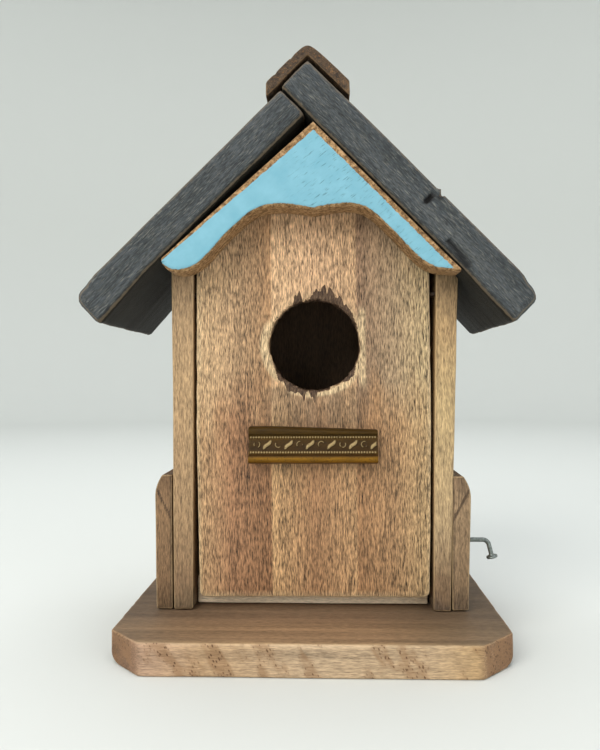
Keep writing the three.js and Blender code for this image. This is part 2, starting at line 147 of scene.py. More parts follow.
# %% [markdown]
# ## The skin of a board
# A board is a box with rounded edges. Its skin is a net of squares over the box's six sides,
# which share the points along the edges, so it is closed. Points near an edge are pulled onto a
# quarter round. Leaning, tapering and dents are formulas on those points afterwards.


# %% Net of a box, rounding and normals
def stations(low, high, radius, spacing, arc=4):
    """Places along one side: even in the middle, and at equal angles round both ends."""
    turn = radius * np.tan(np.linspace(0, math.pi / 4, arc + 1))
    count = max(2, round((high - low - 2 * radius) / spacing) + 1)
    middle = np.linspace(low + radius, high - radius, count)
    return np.concatenate([low + radius - turn[:0:-1], middle, high - radius + turn[1:]])


def net_of_box(xs, ys, zs):
    """Points and outward squares of a box's skin, from the places along its three sides."""
    shape = (len(xs), len(ys), len(zs))
    lattice = np.arange(np.prod(shape)).reshape(shape)

    def squares(sheet, turned):
        four = np.stack([sheet[:-1, :-1], sheet[1:, :-1], sheet[1:, 1:], sheet[:-1, 1:]], -1)
        four = four.reshape(-1, 4)
        return four[:, ::-1] if turned else four

    faces = np.concatenate([
        squares(lattice[:, :, 0], True), squares(lattice[:, :, -1], False),
        squares(lattice[:, 0, :], False), squares(lattice[:, -1, :], True),
        squares(lattice[0, :, :], True), squares(lattice[-1, :, :], False),
    ])
    used, faces = np.unique(faces, return_inverse=True)
    i, j, k = np.unravel_index(used, shape)
    return np.stack([xs[i], ys[j], zs[k]], axis=1), faces.reshape(-1, 4)


def rounded_block(low, high, radius, spacing, wear=0.4, seed=1, radius_at=None):
    """A worn box: each point p = core + r * direction, where core is p held r inside the box.

    Returns the worn points, the sharp points they came from, the faces and each point's
    distance from the nearest edge. The radius r is radius, or radius_at(sharp) where it
    changes along the board, less a share that wanders between 0 and wear.
    """
    low, high = np.asarray(low, float), np.asarray(high, float)
    sides = [stations(a, b, radius, gap) for a, b, gap in zip(low, high, spacing)]
    sharp, faces = net_of_box(*sides)
    worn = radius if radius_at is None else radius_at(sharp)
    worn = (worn * (1 - wear * (0.5 + 0.5 * soft_noise(sharp, 14, seed))))[:, None]
    core = np.clip(sharp, low + worn, high - worn)
    out = sharp - core
    points = core + worn * out / np.linalg.norm(out, axis=1, keepdims=True)
    from_edge = np.sort(np.minimum(sharp - low, high - sharp), axis=1)[:, 1]
    return points, sharp, faces, from_edge


def normals_of(points, faces):
    """Unit normal at each point: the sum of the normals of the squares round it."""
    a, b, c, d = (points[faces[:, i]] for i in range(4))
    flat = np.cross(c - a, d - b)
    total = np.zeros_like(points)
    for i in range(4):
        np.add.at(total, faces[:, i], flat)
    return total / np.maximum(np.linalg.norm(total, axis=1, keepdims=True), 1e-12)


def facing_out(points, faces):
    """Faces in the order that gives the closed skin a positive volume."""
    a, b, c, d = (points[faces[:, i]] for i in range(4))
    volume = np.einsum("ij,ij->", a, np.cross(b, c)) + np.einsum("ij,ij->", a, np.cross(c, d))
    return faces if volume > 0 else faces[:, ::-1]


def planed_unevenly(points, faces, along, depth, seed):
    """Presses wide waves into a skin: p - n * depth * |noise|, the waves long along the grain."""
    period = np.array([5.0, 5.0, 5.0])
    period[along] = 45
    wave = np.abs(soft_noise(points, period, seed)) + 0.5 * np.abs(soft_noise(points, 31, seed + 1))
    return points - normals_of(points, faces) * (depth * wave)[:, None]


# %% [markdown]
# ## From arrays to an object
# One function writes the arrays into a mesh, hides the frame's plain board and lets the new
# piece ride on the same body, so that it swings or slides with it. Numbers for each point, such
# as the distance from the nearest edge, are kept as attributes, and the finishes read them.


def make_piece(node, points, face_groups, finish, marks=None):
    """The finished piece that stands for a frame node, from points in mm held inside its box."""
    points = np.clip(points, *box_mm(node))
    mesh = bpy.data.meshes.new(f"{node}_made")
    sizes = np.concatenate([np.full(len(group), group.shape[1]) for group in face_groups])
    corners = np.concatenate([group.ravel() for group in face_groups])
    mesh.vertices.add(len(points))
    mesh.vertices.foreach_set("co", (points * MM).astype(np.float32).ravel())
    mesh.loops.add(len(corners))
    mesh.loops.foreach_set("vertex_index", corners.astype(np.int32))
    mesh.polygons.add(len(sizes))
    starts = (np.cumsum(sizes) - sizes).astype(np.int32)
    mesh.polygons.foreach_set("loop_start", starts)
    mesh.polygons.foreach_set("use_smooth", np.ones(len(sizes), dtype=bool))
    for name, values in (marks or {}).items():
        layer = mesh.attributes.new(name, "FLOAT", "POINT")
        layer.data.foreach_set("value", np.asarray(values, np.float32))
    mesh.update()
    mesh.validate()
    mesh.materials.append(finish)
    made = bpy.data.objects.new(f"{node}_made", mesh)
    bpy.context.scene.collection.objects.link(made)
    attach(made, frame["nodes"][node]["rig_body"])
    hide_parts(node)
    print(f"{node}: {len(points)} points")
    return made


# %% [markdown]
# ## Tools for the finishes
# A finish is a small graph of nodes. One function adds a node, sets it and links it, so a finish
# reads like a recipe. Colours are the hex codes seen on a screen, turned to the linear values
# that light needs.


# %% Colours and nodes
def linear(code):
    """sRGB hex to linear: c / 12.92 when dark, otherwise ((c + 0.055) / 1.055) ^ 2.4."""
    parts = [int(code[i:i + 2], 16) / 255 for i in (1, 3, 5)]
    return (*[c / 12.92 if c <= 0.04045 else ((c + 0.055) / 1.055) ** 2.4 for c in parts], 1.0)


def add(tree, kind, inputs=None, stops=None, **settings):
    """Adds a node. inputs maps a socket's name or number to a value, a node or a socket."""
    made = tree.nodes.new(kind)
    for name, value in settings.items():
        setattr(made, name, value)
    if stops:
        while len(made.color_ramp.elements) < len(stops):
            made.color_ramp.elements.new(0.5)
        for element, (place, tone) in zip(made.color_ramp.elements, stops):
            element.position = place
            element.color = linear(tone) if isinstance(tone, str) else (tone, tone, tone, 1)
    for key, value in (inputs or {}).items():
        if isinstance(value, bpy.types.Node):
            value = next(out for out in value.outputs if out.enabled)
        if isinstance(value, bpy.types.NodeSocket):
            tree.links.new(value, made.inputs[key])
        else:
            made.inputs[key].default_value = value
    return made


def new_finish(name, roughness, metallic=0.0, specular=0.3):
    """A material holding only a Principled shader, ready for its recipe."""
    material = bpy.data.materials.new(name)
    material.use_nodes = True
    tree = material.node_tree
    tree.nodes.clear()
    shader = add(tree, "ShaderNodeBsdfPrincipled", {
        "Roughness": roughness, "Metallic": metallic, "Specular IOR Level": specular})
    add(tree, "ShaderNodeOutputMaterial", {"Surface": shader})
    return material, tree, shader


def mark(tree, name):
    """A piece's own number at each point, such as its distance from an edge."""
    return add(tree, "ShaderNodeAttribute", attribute_name=name).outputs["Fac"]


# %% [markdown]
# ## What all the wood shares
# Worn wood shows three things at arm's length: broad bands where the growth rings run out,
# fibres about a millimetre wide, and short dark ticks where a tool tore a pore open. All three
# are noise stretched along the grain. Real pores are a few hundredths of a millimetre wide, so
# the ticks are drawn 0.4 mm wide, as coarse as they need to be to show.


# %% Grain space and noise in millimetres
def place_mm(tree, turn=0.0, shift=0.0):
    """Object coordinates in mm, moved by shift to a fresh part of the noise, turned about Y."""
    place = add(tree, "ShaderNodeTexCoord").outputs["Object"]
    return add(tree, "ShaderNodeMapping", {
        "Vector": place, "Scale": (1000, 1000, 1000), "Rotation": (0, turn, 0),
        "Location": (shift, shift * 0.7, shift * 1.3)})


def along_grain(tree, space, axis, stretch):
    """The same space squeezed along the grain, which draws patterns out by stretch."""
    squeeze = [1.0, 1.0, 1.0]
    squeeze["xyz".index(axis)] = 1 / stretch
    return add(tree, "ShaderNodeMapping", {"Vector": space, "Scale": squeeze})


def noise(tree, space, width, detail=3.0, roughness=0.55):
    """Noise whose patches are about width mm across the grain."""
    return add(tree, "ShaderNodeTexNoise", {
        "Vector": space, "Scale": 1 / width, "Detail": detail, "Roughness": roughness})


def colour_along(tree, axis, low, high, colours, wander=None):
    """A ramp of colours from low to high mm along an axis; wander (a node, mm) bends it."""
    where = add(tree, "ShaderNodeTexCoord").outputs["Object"]
    place = add(tree, "ShaderNodeSeparateXYZ", {0: where})
    value = place.outputs["xyz".index(axis)]
    if wander is not None:
        value = add(tree, "ShaderNodeMath", {0: wander, 1: MM, 2: value}, operation="MULTIPLY_ADD")
    share = add(tree, "ShaderNodeMapRange", {0: value, 1: low * MM, 2: high * MM})
    stops = [((at - low) / (high - low), tone) for at, tone in colours]
    return add(tree, "ShaderNodeValToRGB", {0: share}, stops=stops)


# %% The wood recipe
def wood(tree, shader, ground, space, axis, fibres=0.9, bands=0.5, ticks="#4a3321",
         tick_share=0.45, relief=0.12, worn=None, worn_colour="#c9ad86", grit=2.2):
    """Fibres, grit and bands brighten or darken the ground, ticks darken it, edges go pale.

    Brightness = 1 + fibres * (fine - 0.5) + bands * (broad - 0.5) + grit * (rough - 0.5). The
    relief, in mm, is raised by the fibres and sunk at the ticks.
    """
    long = along_grain(tree, space, axis, 26)
    short = along_grain(tree, space, axis, 6.5)
    broad = noise(tree, long, 7.0, 4.0)
    fine = noise(tree, long, 0.7, 4.0, 0.75)
    rough = noise(tree, short, 0.44, 2.0, 0.6)
    level = 1 - (fibres + bands + grit) / 2
    tone = add(tree, "ShaderNodeMath", {0: fine, 1: fibres, 2: level}, operation="MULTIPLY_ADD")
    tone = add(tree, "ShaderNodeMath", {0: broad, 1: bands, 2: tone}, operation="MULTIPLY_ADD")
    tone = add(tree, "ShaderNodeMath", {0: rough, 1: grit, 2: tone}, operation="MULTIPLY_ADD")
    toned = add(tree, "ShaderNodeHueSaturation", {"Value": tone, "Color": ground})
    pores = add(tree, "ShaderNodeValToRGB", {0: noise(tree, short, 0.42, 1.5, 0.5)},
                stops=[(0.58, 0.0), (0.72, tick_share)])
    colour = add(tree, "ShaderNodeMix", {0: pores, 6: toned, 7: linear(ticks)}, data_type="RGBA")
    if worn is not None:
        colour = add(tree, "ShaderNodeMix", {0: worn, 6: colour, 7: linear(worn_colour)},
                     data_type="RGBA")
    height = add(tree, "ShaderNodeMath", {0: fine, 1: rough}, operation="ADD")
    height = add(tree, "ShaderNodeMath", {0: height, 1: pores}, operation="SUBTRACT")
    bump = add(tree, "ShaderNodeBump", {"Height": height, "Distance": relief * MM})
    tree.links.new(colour.outputs[2], shader.inputs["Base Color"])
    tree.links.new(bump.outputs[0], shader.inputs["Normal"])
    return colour, bump


def rubbed(tree, space, width, strength=1.0, patch=6.0):
    """Share of an edge that hands have rubbed bare: strongest at 0 mm, gone at about width."""
    wander = add(tree, "ShaderNodeMath", {0: noise(tree, space, patch, 4.0, 0.7), 1: width * 2.4,
                                          2: -width * 1.2}, operation="MULTIPLY_ADD")
    away = add(tree, "ShaderNodeMath", {0: mark(tree, "edge"), 1: wander}, operation="SUBTRACT")
    return add(tree, "ShaderNodeMapRange", {0: away, 1: width * 0.35, 2: width, 3: strength,
                                            4: 0.0})

# %% [markdown]
# ## The base plank
# A thick plank with its two front corners sawn off. It is a rounded block whose front is drawn
# back towards the ends: the depth is scaled by (D - c) / D, where c grows past each saw line.
# Its lower outer corners are knocked round in the same way, by scaling the height.


# %% Finish of the base: oiled softwood, sanded through on the front
def base_finish():
    """Oil soaks in unevenly, so the top is brown, and the sanded front is pale with wormholes. The
    top also carries painted shade towards its ends.
    """
    finish, tree, shader = new_finish("oiled_softwood_base", 0.62)
    space = place_mm(tree, shift=11)
    top = colour_along(tree, "y", base_low[1], base_high[1],
                       [(-52, "#a78a66"), (-47, "#8e7154"), (-34, "#917355"), (-22, "#7e644c"),
                        (52, "#84694f")], noise(tree, along_grain(tree, space, "x", 9), 5.0))
    front = colour_along(tree, "x", base_low[0], base_high[0],
                         [(-78, "#7d5c40"), (-66, "#8c6c54"), (-62, "#b09178"), (-40, "#b29371"),
                          (0, "#b99f81"), (45, "#bda180"), (62, "#b8986f"), (66, "#987657"),
                          (78, "#836044")])
    # Painted shade: this ramp darkens the top towards both ends, where the walls shade it.
    ends = colour_along(tree, "x", base_low[0], base_high[0],
                        [(-78, "#d2d8de"), (-48, "#e8e9ea"), (-20, "#ffffff"), (25, "#ffffff"),
                         (50, "#dfe4e6"), (78, "#cdd5da")])
    top = add(tree, "ShaderNodeMix", {0: 1.0, 6: top, 7: ends}, data_type="RGBA",
              blend_type="MULTIPLY")
    ground = add(tree, "ShaderNodeMix", {0: mark(tree, "front"), 6: top.outputs[2], 7: front},
                 data_type="RGBA")
    colour, _ = wood(tree, shader, ground, space, "x", 0.9, 1.5, "#5a3f29", 0.3, 0.14,
                     rubbed(tree, space, 0.8, 0.25), "#c9ad88", grit=1.3)
    holes = add(tree, "ShaderNodeTexVoronoi", {
        "Vector": along_grain(tree, place_mm(tree, 0.5, 31), "z", 1.8), "Scale": 1 / 1.05})
    pits = add(tree, "ShaderNodeMapRange", {0: holes, 1: 0.22, 2: 0.36, 3: 0.9, 4: 0.0})
    patches = noise(tree, along_grain(tree, place_mm(tree, 0.62, 5), "z", 2.6), 6.5, 2.0)
    where = add(tree, "ShaderNodeMapRange", {0: patches, 1: 0.48, 2: 0.6})
    share = add(tree, "ShaderNodeMath", {0: pits, 1: where}, operation="MULTIPLY")
    share = add(tree, "ShaderNodeMath", {0: share, 1: mark(tree, "front")}, operation="MULTIPLY")
    smudge = add(tree, "ShaderNodeMath", {0: where, 1: mark(tree, "front")}, operation="MULTIPLY")
    smudge = add(tree, "ShaderNodeMath", {0: smudge, 1: 0.55}, operation="MULTIPLY")
    stained = add(tree, "ShaderNodeMix", {0: smudge, 6: colour.outputs[2], 7: linear("#8a6644")},
                  data_type="RGBA")
    eaten = add(tree, "ShaderNodeMix", {0: share, 6: stained.outputs[2], 7: linear("#5a3d28")},
                data_type="RGBA")
    tree.links.new(eaten.outputs[2], shader.inputs["Base Color"])
    return finish


# %% Shape of the base
CORNER_CUT = 14.4               # each front corner is sawn off this far from both faces
KNOCKED = 4.5                   # round of the lower outer corners


def base_plank():
    """A block whose depth shrinks by c = |x| - cut line and whose underside rises at the ends."""
    points, sharp, faces, edge = rounded_block(base_low, base_high, 1.6, (1.6, 1.6, 1.0), 0.55, 3)
    points = planed_unevenly(points, faces, 0, 0.22, 5)
    x, y, z = points.T
    half = base_high[0]
    past = np.abs(x) - (half - CORNER_CUT)
    cut = 0.5 * (past + np.sqrt(past ** 2 + 0.3))
    depth = base_high[1] - base_low[1]
    y = base_high[1] - (base_high[1] - y) * (depth - cut) / depth
    out = np.clip((np.abs(x) - half + KNOCKED) / KNOCKED, 0, 1)
    lift = KNOCKED * (1 - np.sqrt(1 - np.minimum(out, 0.98) ** 2))
    z = BASE_TOP - (BASE_TOP - z) * (BASE_TOP - lift) / BASE_TOP
    z = np.where(sharp[:, 2] < 0.01, np.maximum(z, 0), z)
    front = 1 - ramp(sharp[:, 1], base_low[1], base_low[1] + 1.2)
    side = ramp(np.abs(sharp[:, 0]), half - 1.2, half)
    marks = {"edge": edge, "front": np.maximum(front, side)}
    points = np.stack([x, y, z], axis=1)
    return make_piece("base_plank", points, [facing_out(points, faces)], base_finish(), marks)


base_plank()

# %% [markdown]
# ## Boards seen from the front
# Walls, roof planks and trims are four-cornered seen from the front, and never quite square. A
# block is made at the board's mean size and then stretched over its four corners: every point
# is a weighted mean of the corners, p = (1-u)(1-v) A + u(1-v) B + uv C + (1-u)v D.


# %% Stretching a block over four corners
def four_cornered(node, corners, finish, radius=1.2, spacing=(1.2, 2.0, 1.6), along=2,
                  depth=0.18, seed=1, wear=0.5, dents=None, radius_at=None, marks_at=None):
    """A board through four x, z corners: its foot from A to B, its head from D to C."""
    a, b, c, d = (np.asarray(corner, float) for corner in corners)
    wide = (np.linalg.norm(b - a) + np.linalg.norm(c - d)) / 2
    tall = (np.linalg.norm(d - a) + np.linalg.norm(c - b)) / 2
    low, high = box_mm(node)
    points, sharp, faces, edge = rounded_block(
        (0, low[1], 0), (wide, high[1], tall), radius, spacing, wear, seed, radius_at)
    points = planed_unevenly(points, faces, along, depth, seed + 7)
    if dents is not None:
        points = dents(points, sharp, wide, tall)
    u, v = points[:, :1] / wide, points[:, 2:] / tall
    flat = (1 - u) * (1 - v) * a + u * (1 - v) * b + u * v * c + (1 - u) * v * d
    placed = np.stack([flat[:, 0], points[:, 1], flat[:, 1]], axis=1)
    marks = {"edge": edge}
    if marks_at is not None:
        marks.update(marks_at(sharp, placed))
    return make_piece(node, placed, [facing_out(placed, faces)], finish, marks)


# %% [markdown]
# ## Side walls
# Each wall is one board standing on the base. Its front edge shows beside the door, golden in
# the middle and darker at the foot and under the roof. The dark foot is dirt and painted shade
# together; the dark head is painted shade under the roof.


# %% Side walls
def wall_finish(name, heights, shift, inside=None):
    """Old pine with an oil finish: honey brown, with fine upright fibres."""
    finish, tree, shader = new_finish(name, 0.6)
    space = place_mm(tree, shift=shift)
    ground = colour_along(tree, "z", 12, 170, heights,
                          add(tree, "ShaderNodeMath", {0: noise(tree, space, 9.0, 3.0), 1: 24.0,
                                                       2: -12.0}, operation="MULTIPLY_ADD"))
    # Painted shade: given an inside colour, the board's inner face is mixed to it, as shade inside
    # the house.
    if inside:
        ground = add(tree, "ShaderNodeMix", {0: mark(tree, "inside"), 6: ground,
                                             7: linear(inside)}, data_type="RGBA").outputs[2]
    wood(tree, shader, ground, space, "z", 0.95, 0.6, "#4f3823", 0.45, 0.14,
         rubbed(tree, space, 0.7, 0.55), "#c4a67c")
    return finish


def wall_corners(node, side):
    """Foot inside, foot outside, head outside and head inside."""
    return [furthest(node, -side, -1), furthest(node, side, -1), furthest(node, side, 0.2),
            furthest(node, -side * 0.3, 1)]


# Tones up each wall: dark at the foot from dirt and painted shade, dark at the head from painted
# shade under the roof.
LEFT_TONES_WITH_SHADE = [(12, "#665540"), (24, "#866b50"), (45, "#977a5a"), (110, "#b4946e"),
                (170, "#8c7256")]
RIGHT_TONES_WITH_SHADE = [(12, "#56473a"), (24, "#80664c"), (45, "#a68c6a"), (100, "#b89d72"),
                 (130, "#ab8c64"), (170, "#5a4a3a")]
four_cornered("left_wall", wall_corners("left_wall", -1),
              wall_finish("oiled_pine_left_wall", LEFT_TONES_WITH_SHADE, 3), seed=11)
four_cornered("right_wall", wall_corners("right_wall", 1),
              wall_finish("oiled_pine_right_wall", RIGHT_TONES_WITH_SHADE, 47), seed=12)

# %% [markdown]
# ## Floor board
# Only its front edge shows, as a pale strip under the door. It is a plain sawn board.


# %% Floor board
def floor_finish():
    """Sawn pine, left bare: straw coloured, with painted light: its tones are near white so that it
    stays pale in the shade under the door.
    """
    finish, tree, shader = new_finish("bare_sawn_pine_floor", 0.75, specular=0.2)
    space = place_mm(tree, shift=71)
    # Painted light: tones near white, so that the strip stays pale in the shade under the door.
    ground = colour_along(tree, "x", -50, 50, [(-50, "#f6e0c2"), (0, "#fce8cb"), (50, "#efd7b8")])
    wood(tree, shader, ground, space, "x", 0.5, 0.4, "#6b5238", 0.25, 0.14, grit=1.0)
    return finish


def box_corners(node):
    """The four corners of a board that stands square."""
    low, high = box_mm(node)
    return [(low[0], low[2]), (high[0], low[2]), (high[0], high[2]), (low[0], high[2])]


four_cornered("floor_board", box_corners("floor_board"), floor_finish(), 0.8, (2, 2, 1), 0, seed=14)

# %% [markdown]
# ## Roof planks
# Heavy planks stained charcoal. The stain is thin: streaks of bare wood run down the slope, and
# every long edge is rubbed brown. The lower ends are knocked round. The right plank's front
# edge carries an old nail hole, a splinter and a gouge, which are dents pressed into the block.

# %% Stain over wood
ROOF_PITCH = {"left": math.radians(44), "right": math.radians(45.6)}


def roof_finish(side, turn):
    """Charcoal wood stain, brushed thin: matt, streaked, worn brown along the edges, with painted
    shade on the underside and painted shadow in the dents.
    """
    finish, tree, shader = new_finish(f"charcoal_stain_{side}_plank", 0.72, specular=0.28)
    space = place_mm(tree, turn, 23 if side == "left" else 61)
    broad = noise(tree, along_grain(tree, space, "x", 6), 6.0)
    ground = add(tree, "ShaderNodeValToRGB", {0: broad},
                 stops=[(0.34, "#393d3f"), (0.5, "#404447"), (0.68, "#4c4f50")])
    dusty = add(tree, "ShaderNodeMapRange", {0: noise(tree, along_grain(tree, space, "x", 10), 0.42,
                                                     3.0, 0.7), 1: 0.53, 2: 0.68, 4: 0.7})
    streaked = add(tree, "ShaderNodeMix", {0: dusty, 6: ground, 7: linear("#76746b")},
                   data_type="RGBA")
    # Painted shade: the plank's underside is mixed to near black, darker than the stain, as shade
    # under the eaves.
    under = add(tree, "ShaderNodeMix", {0: mark(tree, "under"), 6: streaked.outputs[2],
                                        7: linear("#1c1b15")}, data_type="RGBA")
    # Painted shadow in the knot hole, the splinter's notch and the gouge.
    hurt = add(tree, "ShaderNodeMix", {0: mark(tree, "hurt"), 6: under.outputs[2],
                                       7: linear("#0b0807")}, data_type="RGBA")
    wood(tree, shader, hurt.outputs[2], space, "x", 0.9, 0.3, "#26272a", 0.6, 0.2,
         rubbed(tree, space, 1.0, 0.5, 2.5), "#7d6c57", grit=2.4)
    return finish


# %% Dents in the right plank's front edge, in mm down the slope and in from the top face
KNOT = {"along": 74.6, "into": 5.6, "long": 1.5, "high": 3.0, "deep": 1.4}
GOUGE = {"start": (92.3, 12.4), "end": (104.6, 12.9), "half": 1.25, "deep": 1.7}
SPLINTER = {"along": 75.2, "half": 1.0, "high": 0.9, "notch": 1.2}
DENT = {"along": 29, "into": 8.7, "long": 1.4, "high": 0.9, "deep": 0.5}


def off_gouge(along, into):
    """Distance in mm from the gouge's line, which runs straight from its start to its end."""
    start, run = np.array(GOUGE["start"]), np.array(GOUGE["end"]) - GOUGE["start"]
    share = np.clip(((along - start[0]) * run[0] + (into - start[1]) * run[1]) / (run @ run), 0, 1)
    return np.hypot(along - start[0] - share * run[0], into - start[1] - share * run[1])


def old_damage(points, tall):
    """Presses dents by deep * ramp(1 - distance) where distance is 1 on the dent's rim."""
    along, into = points[:, 0], tall - points[:, 2]
    front = 1 - ramp(points[:, 1], points[:, 1].min() + 0.5, points[:, 1].min() + 6)
    push = np.zeros(len(points))
    for dent in (KNOT, DENT):
        off = np.hypot((along - dent["along"]) / dent["long"], (into - dent["into"]) / dent["high"])
        push += dent["deep"] * ramp(1 - off, 0, 0.45)
    push += GOUGE["deep"] * ramp(1 - off_gouge(along, into) / GOUGE["half"], 0, 0.35)
    beside = (along - SPLINTER["along"]) / SPLINTER["half"]
    near_top = ramp(4 - into, 0, 4) * (1 - ramp(points[:, 1], points[:, 1].min(),
                                                points[:, 1].min() + 5))
    spike = SPLINTER["high"] * ramp(1 - np.abs(beside), 0, 0.8)
    notch = SPLINTER["notch"] * ramp(1 - np.abs(beside - 1.9), 0, 0.7)
    moved = points.copy()
    moved[:, 1] += push * front
    moved[:, 2] += (spike - notch) * near_top
    return moved


def dent_shadow_at(along, into, y, low_y):
    """Share of a point that lies in a dent's shadow, for the finish."""
    knot = ramp(1.15 - np.hypot((along - KNOT["along"]) / KNOT["long"],
                                (into - KNOT["into"]) / KNOT["high"]), 0, 0.4)
    beside = np.abs(along - SPLINTER["along"] - 2.1) / 1.5
    notch = ramp(1 - beside, 0, 0.5) * ramp(3.2 - into, 0, 1.5)
    slot = ramp(1.1 - off_gouge(along, into) / GOUGE["half"], 0, 0.5)
    return np.maximum(np.maximum(knot, notch), slot * 0.9) * (1 - ramp(y, low_y, low_y + 2.5))


# %% Both planks
EAVE_ROUND = (7.0, 3.0)         # knocked round of the eave's upper and lower corners
SWELL_LENGTH = 28               # length of the swelling part, past the walls


def roof_plank(side, sign):
    """A block along the slope: A and B are the lower face's ends, D and C the upper face's."""
    node = f"{side}_roof_plank"
    pitch = ROOF_PITCH[side]
    down = (sign * math.cos(pitch), -math.sin(pitch))
    out = (sign * math.sin(pitch), math.cos(pitch))
    eave_top = square_corner(node, down, out)
    swollen = square_corner(node, down, (-out[0], -out[1]))
    if side == "right":
        top = square_corner(node, (-down[0], -down[1]), out)
        foot = furthest(node, -down[0] - 0.1 * out[0], -down[1] - 0.1 * out[1])
    else:
        top, foot = furthest(node, 0, 1), furthest(node, 1, 0)
    eave_foot = foot + np.dot(swollen - foot, down) * np.array(down)
    swell = np.dot(eave_foot - swollen, out)
    print(f"{node}: swells by {swell:.1f} mm")
    tall = np.linalg.norm(eave_top - eave_foot)

    def radius_at(sharp):
        """Large round at the eave, changing from the upper to the lower corner; 1.6 elsewhere."""
        share = np.clip(sharp[:, 2] / tall, 0, 1)
        eave = EAVE_ROUND[1] + (EAVE_ROUND[0] - EAVE_ROUND[1]) * share
        near = ramp(sharp[:, 0], long - 14, long - 6)
        return 1.6 + (eave - 1.6) * near

    long = (np.linalg.norm(eave_top - top) + np.linalg.norm(eave_foot - foot)) / 2
    low_y = box_mm(node)[0][1]

    def marks_at(sharp, placed):
        # under: the lower face, which the finish darkens as painted shade.
        under = 1 - ramp(sharp[:, 2], 0, 1.5)
        marks = {"under": under, "hurt": np.zeros(len(sharp))}
        if side == "right":
            marks["hurt"] = dent_shadow_at(sharp[:, 0], tall - sharp[:, 2], sharp[:, 1], low_y)
        return marks

    def shaped(points, sharp, wide, tall):
        """Dents on the right plank; then the lower face sinks in a straight line to the eave."""
        moved = old_damage(points, tall) if side == "right" else points.copy()
        grown = swell * np.clip(1 - (wide - moved[:, 0]) / SWELL_LENGTH, 0, 1)
        moved[:, 2] -= grown * (1 - moved[:, 2] / tall)
        return moved

    return four_cornered(
        node, [foot, eave_foot, eave_top, top], roof_finish(side, -sign * pitch), EAVE_ROUND[0],
        (0.75, 1.8, 0.6), 0, 0.3, 21 if side == "left" else 22, 0.35, shaped, radius_at, marks_at)


roof_plank("left", -1)
roof_plank("right", 1)

# %% [markdown]
# ## Ridge cap
# An outside-corner moulding laid over the ridge. Its section is a chevron, so a flat block is
# bent: height = peak - |x| + t, where t is the height in the block. On the outer face |x| is
# softened to sqrt(x^2 + s^2), which is a hyperbola and makes the top round.


# %% Finish and shape of the ridge cap
def ridge_finish():
    """Oiled softwood moulding, grimy from the roof, with ochre flecks in its end grain."""
    finish, tree, shader = new_finish("grimy_oiled_moulding_ridge", 0.66)
    space = place_mm(tree, shift=83)
    grimy = add(tree, "ShaderNodeValToRGB", {0: noise(tree, space, 2.6, 4.0, 0.7)},
                stops=[(0.34, "#2f241c"), (0.47, "#49392a"), (0.6, "#5b4633"), (0.74, "#7f6341")])
    flecks = add(tree, "ShaderNodeMapRange", {0: noise(tree, space, 0.8, 3.0, 0.6),
                                              1: 0.56, 2: 0.68, 4: 0.75})
    ground = add(tree, "ShaderNodeMix", {0: flecks, 6: grimy, 7: linear("#7c562f")},
                 data_type="RGBA")
    wood(tree, shader, ground.outputs[2], space, "y", 0.8, 0.4, "#221a14", 0.6, 0.16,
         rubbed(tree, space, 0.7, 0.5), "#896e4f")
    return finish


RIDGE_SOFT = 2.6                # s in the rounding of the cap's top
NICKS = {6.6: 0.5, 13.1: 0.6}   # where the left arm is nicked, from the middle, and how deep


def ridge_cap():
    """The flat block bent to a chevron; its arms stay plumb at the ends."""
    low, high = box_mm("ridge_cap")
    foot = corners_of("ridge_cap")
    at_end = foot[foot[:, 0] > high[0] - 0.01]
    thick = np.ptp(at_end[:, 2]) + 0.5
    points, _, faces, edge = rounded_block(
        (low[0], low[1], 0), (high[0], high[1], thick), 1.1, (0.7, 1.5, 0.7), 0.4, 31)
    points = planed_unevenly(points, faces, 1, 0.25, 32)
    x, y, t = points.T
    share = np.clip(t / thick, 0, 1)
    bent = share * np.sqrt(x ** 2 + RIDGE_SOFT ** 2) + (1 - share) * np.abs(x)
    peak = high[2] - thick + RIDGE_SOFT - 0.6
    nick = sum(deep * ramp(1 - np.abs(x + place) / 1.0, 0, 0.8) for place, deep in NICKS.items())
    nick = nick * share * (1 - ramp(y, low[1] + 1, low[1] + 9))
    points = np.stack([x, y, np.minimum(peak - bent + t - nick, high[2])], axis=1)
    return make_piece("ridge_cap", points, [facing_out(points, faces)], ridge_finish(),
                      {"edge": edge})


ridge_cap()

# %% [markdown]
# ## Gable fascia
# The blue board under the roof's front has a gable above and a bracket-shaped scallop below.
# A block is fitted between the two lines. Its rounded edges keep their size, because only the
# middle of the height stretches: the outer bands of the block move with their line as they are.


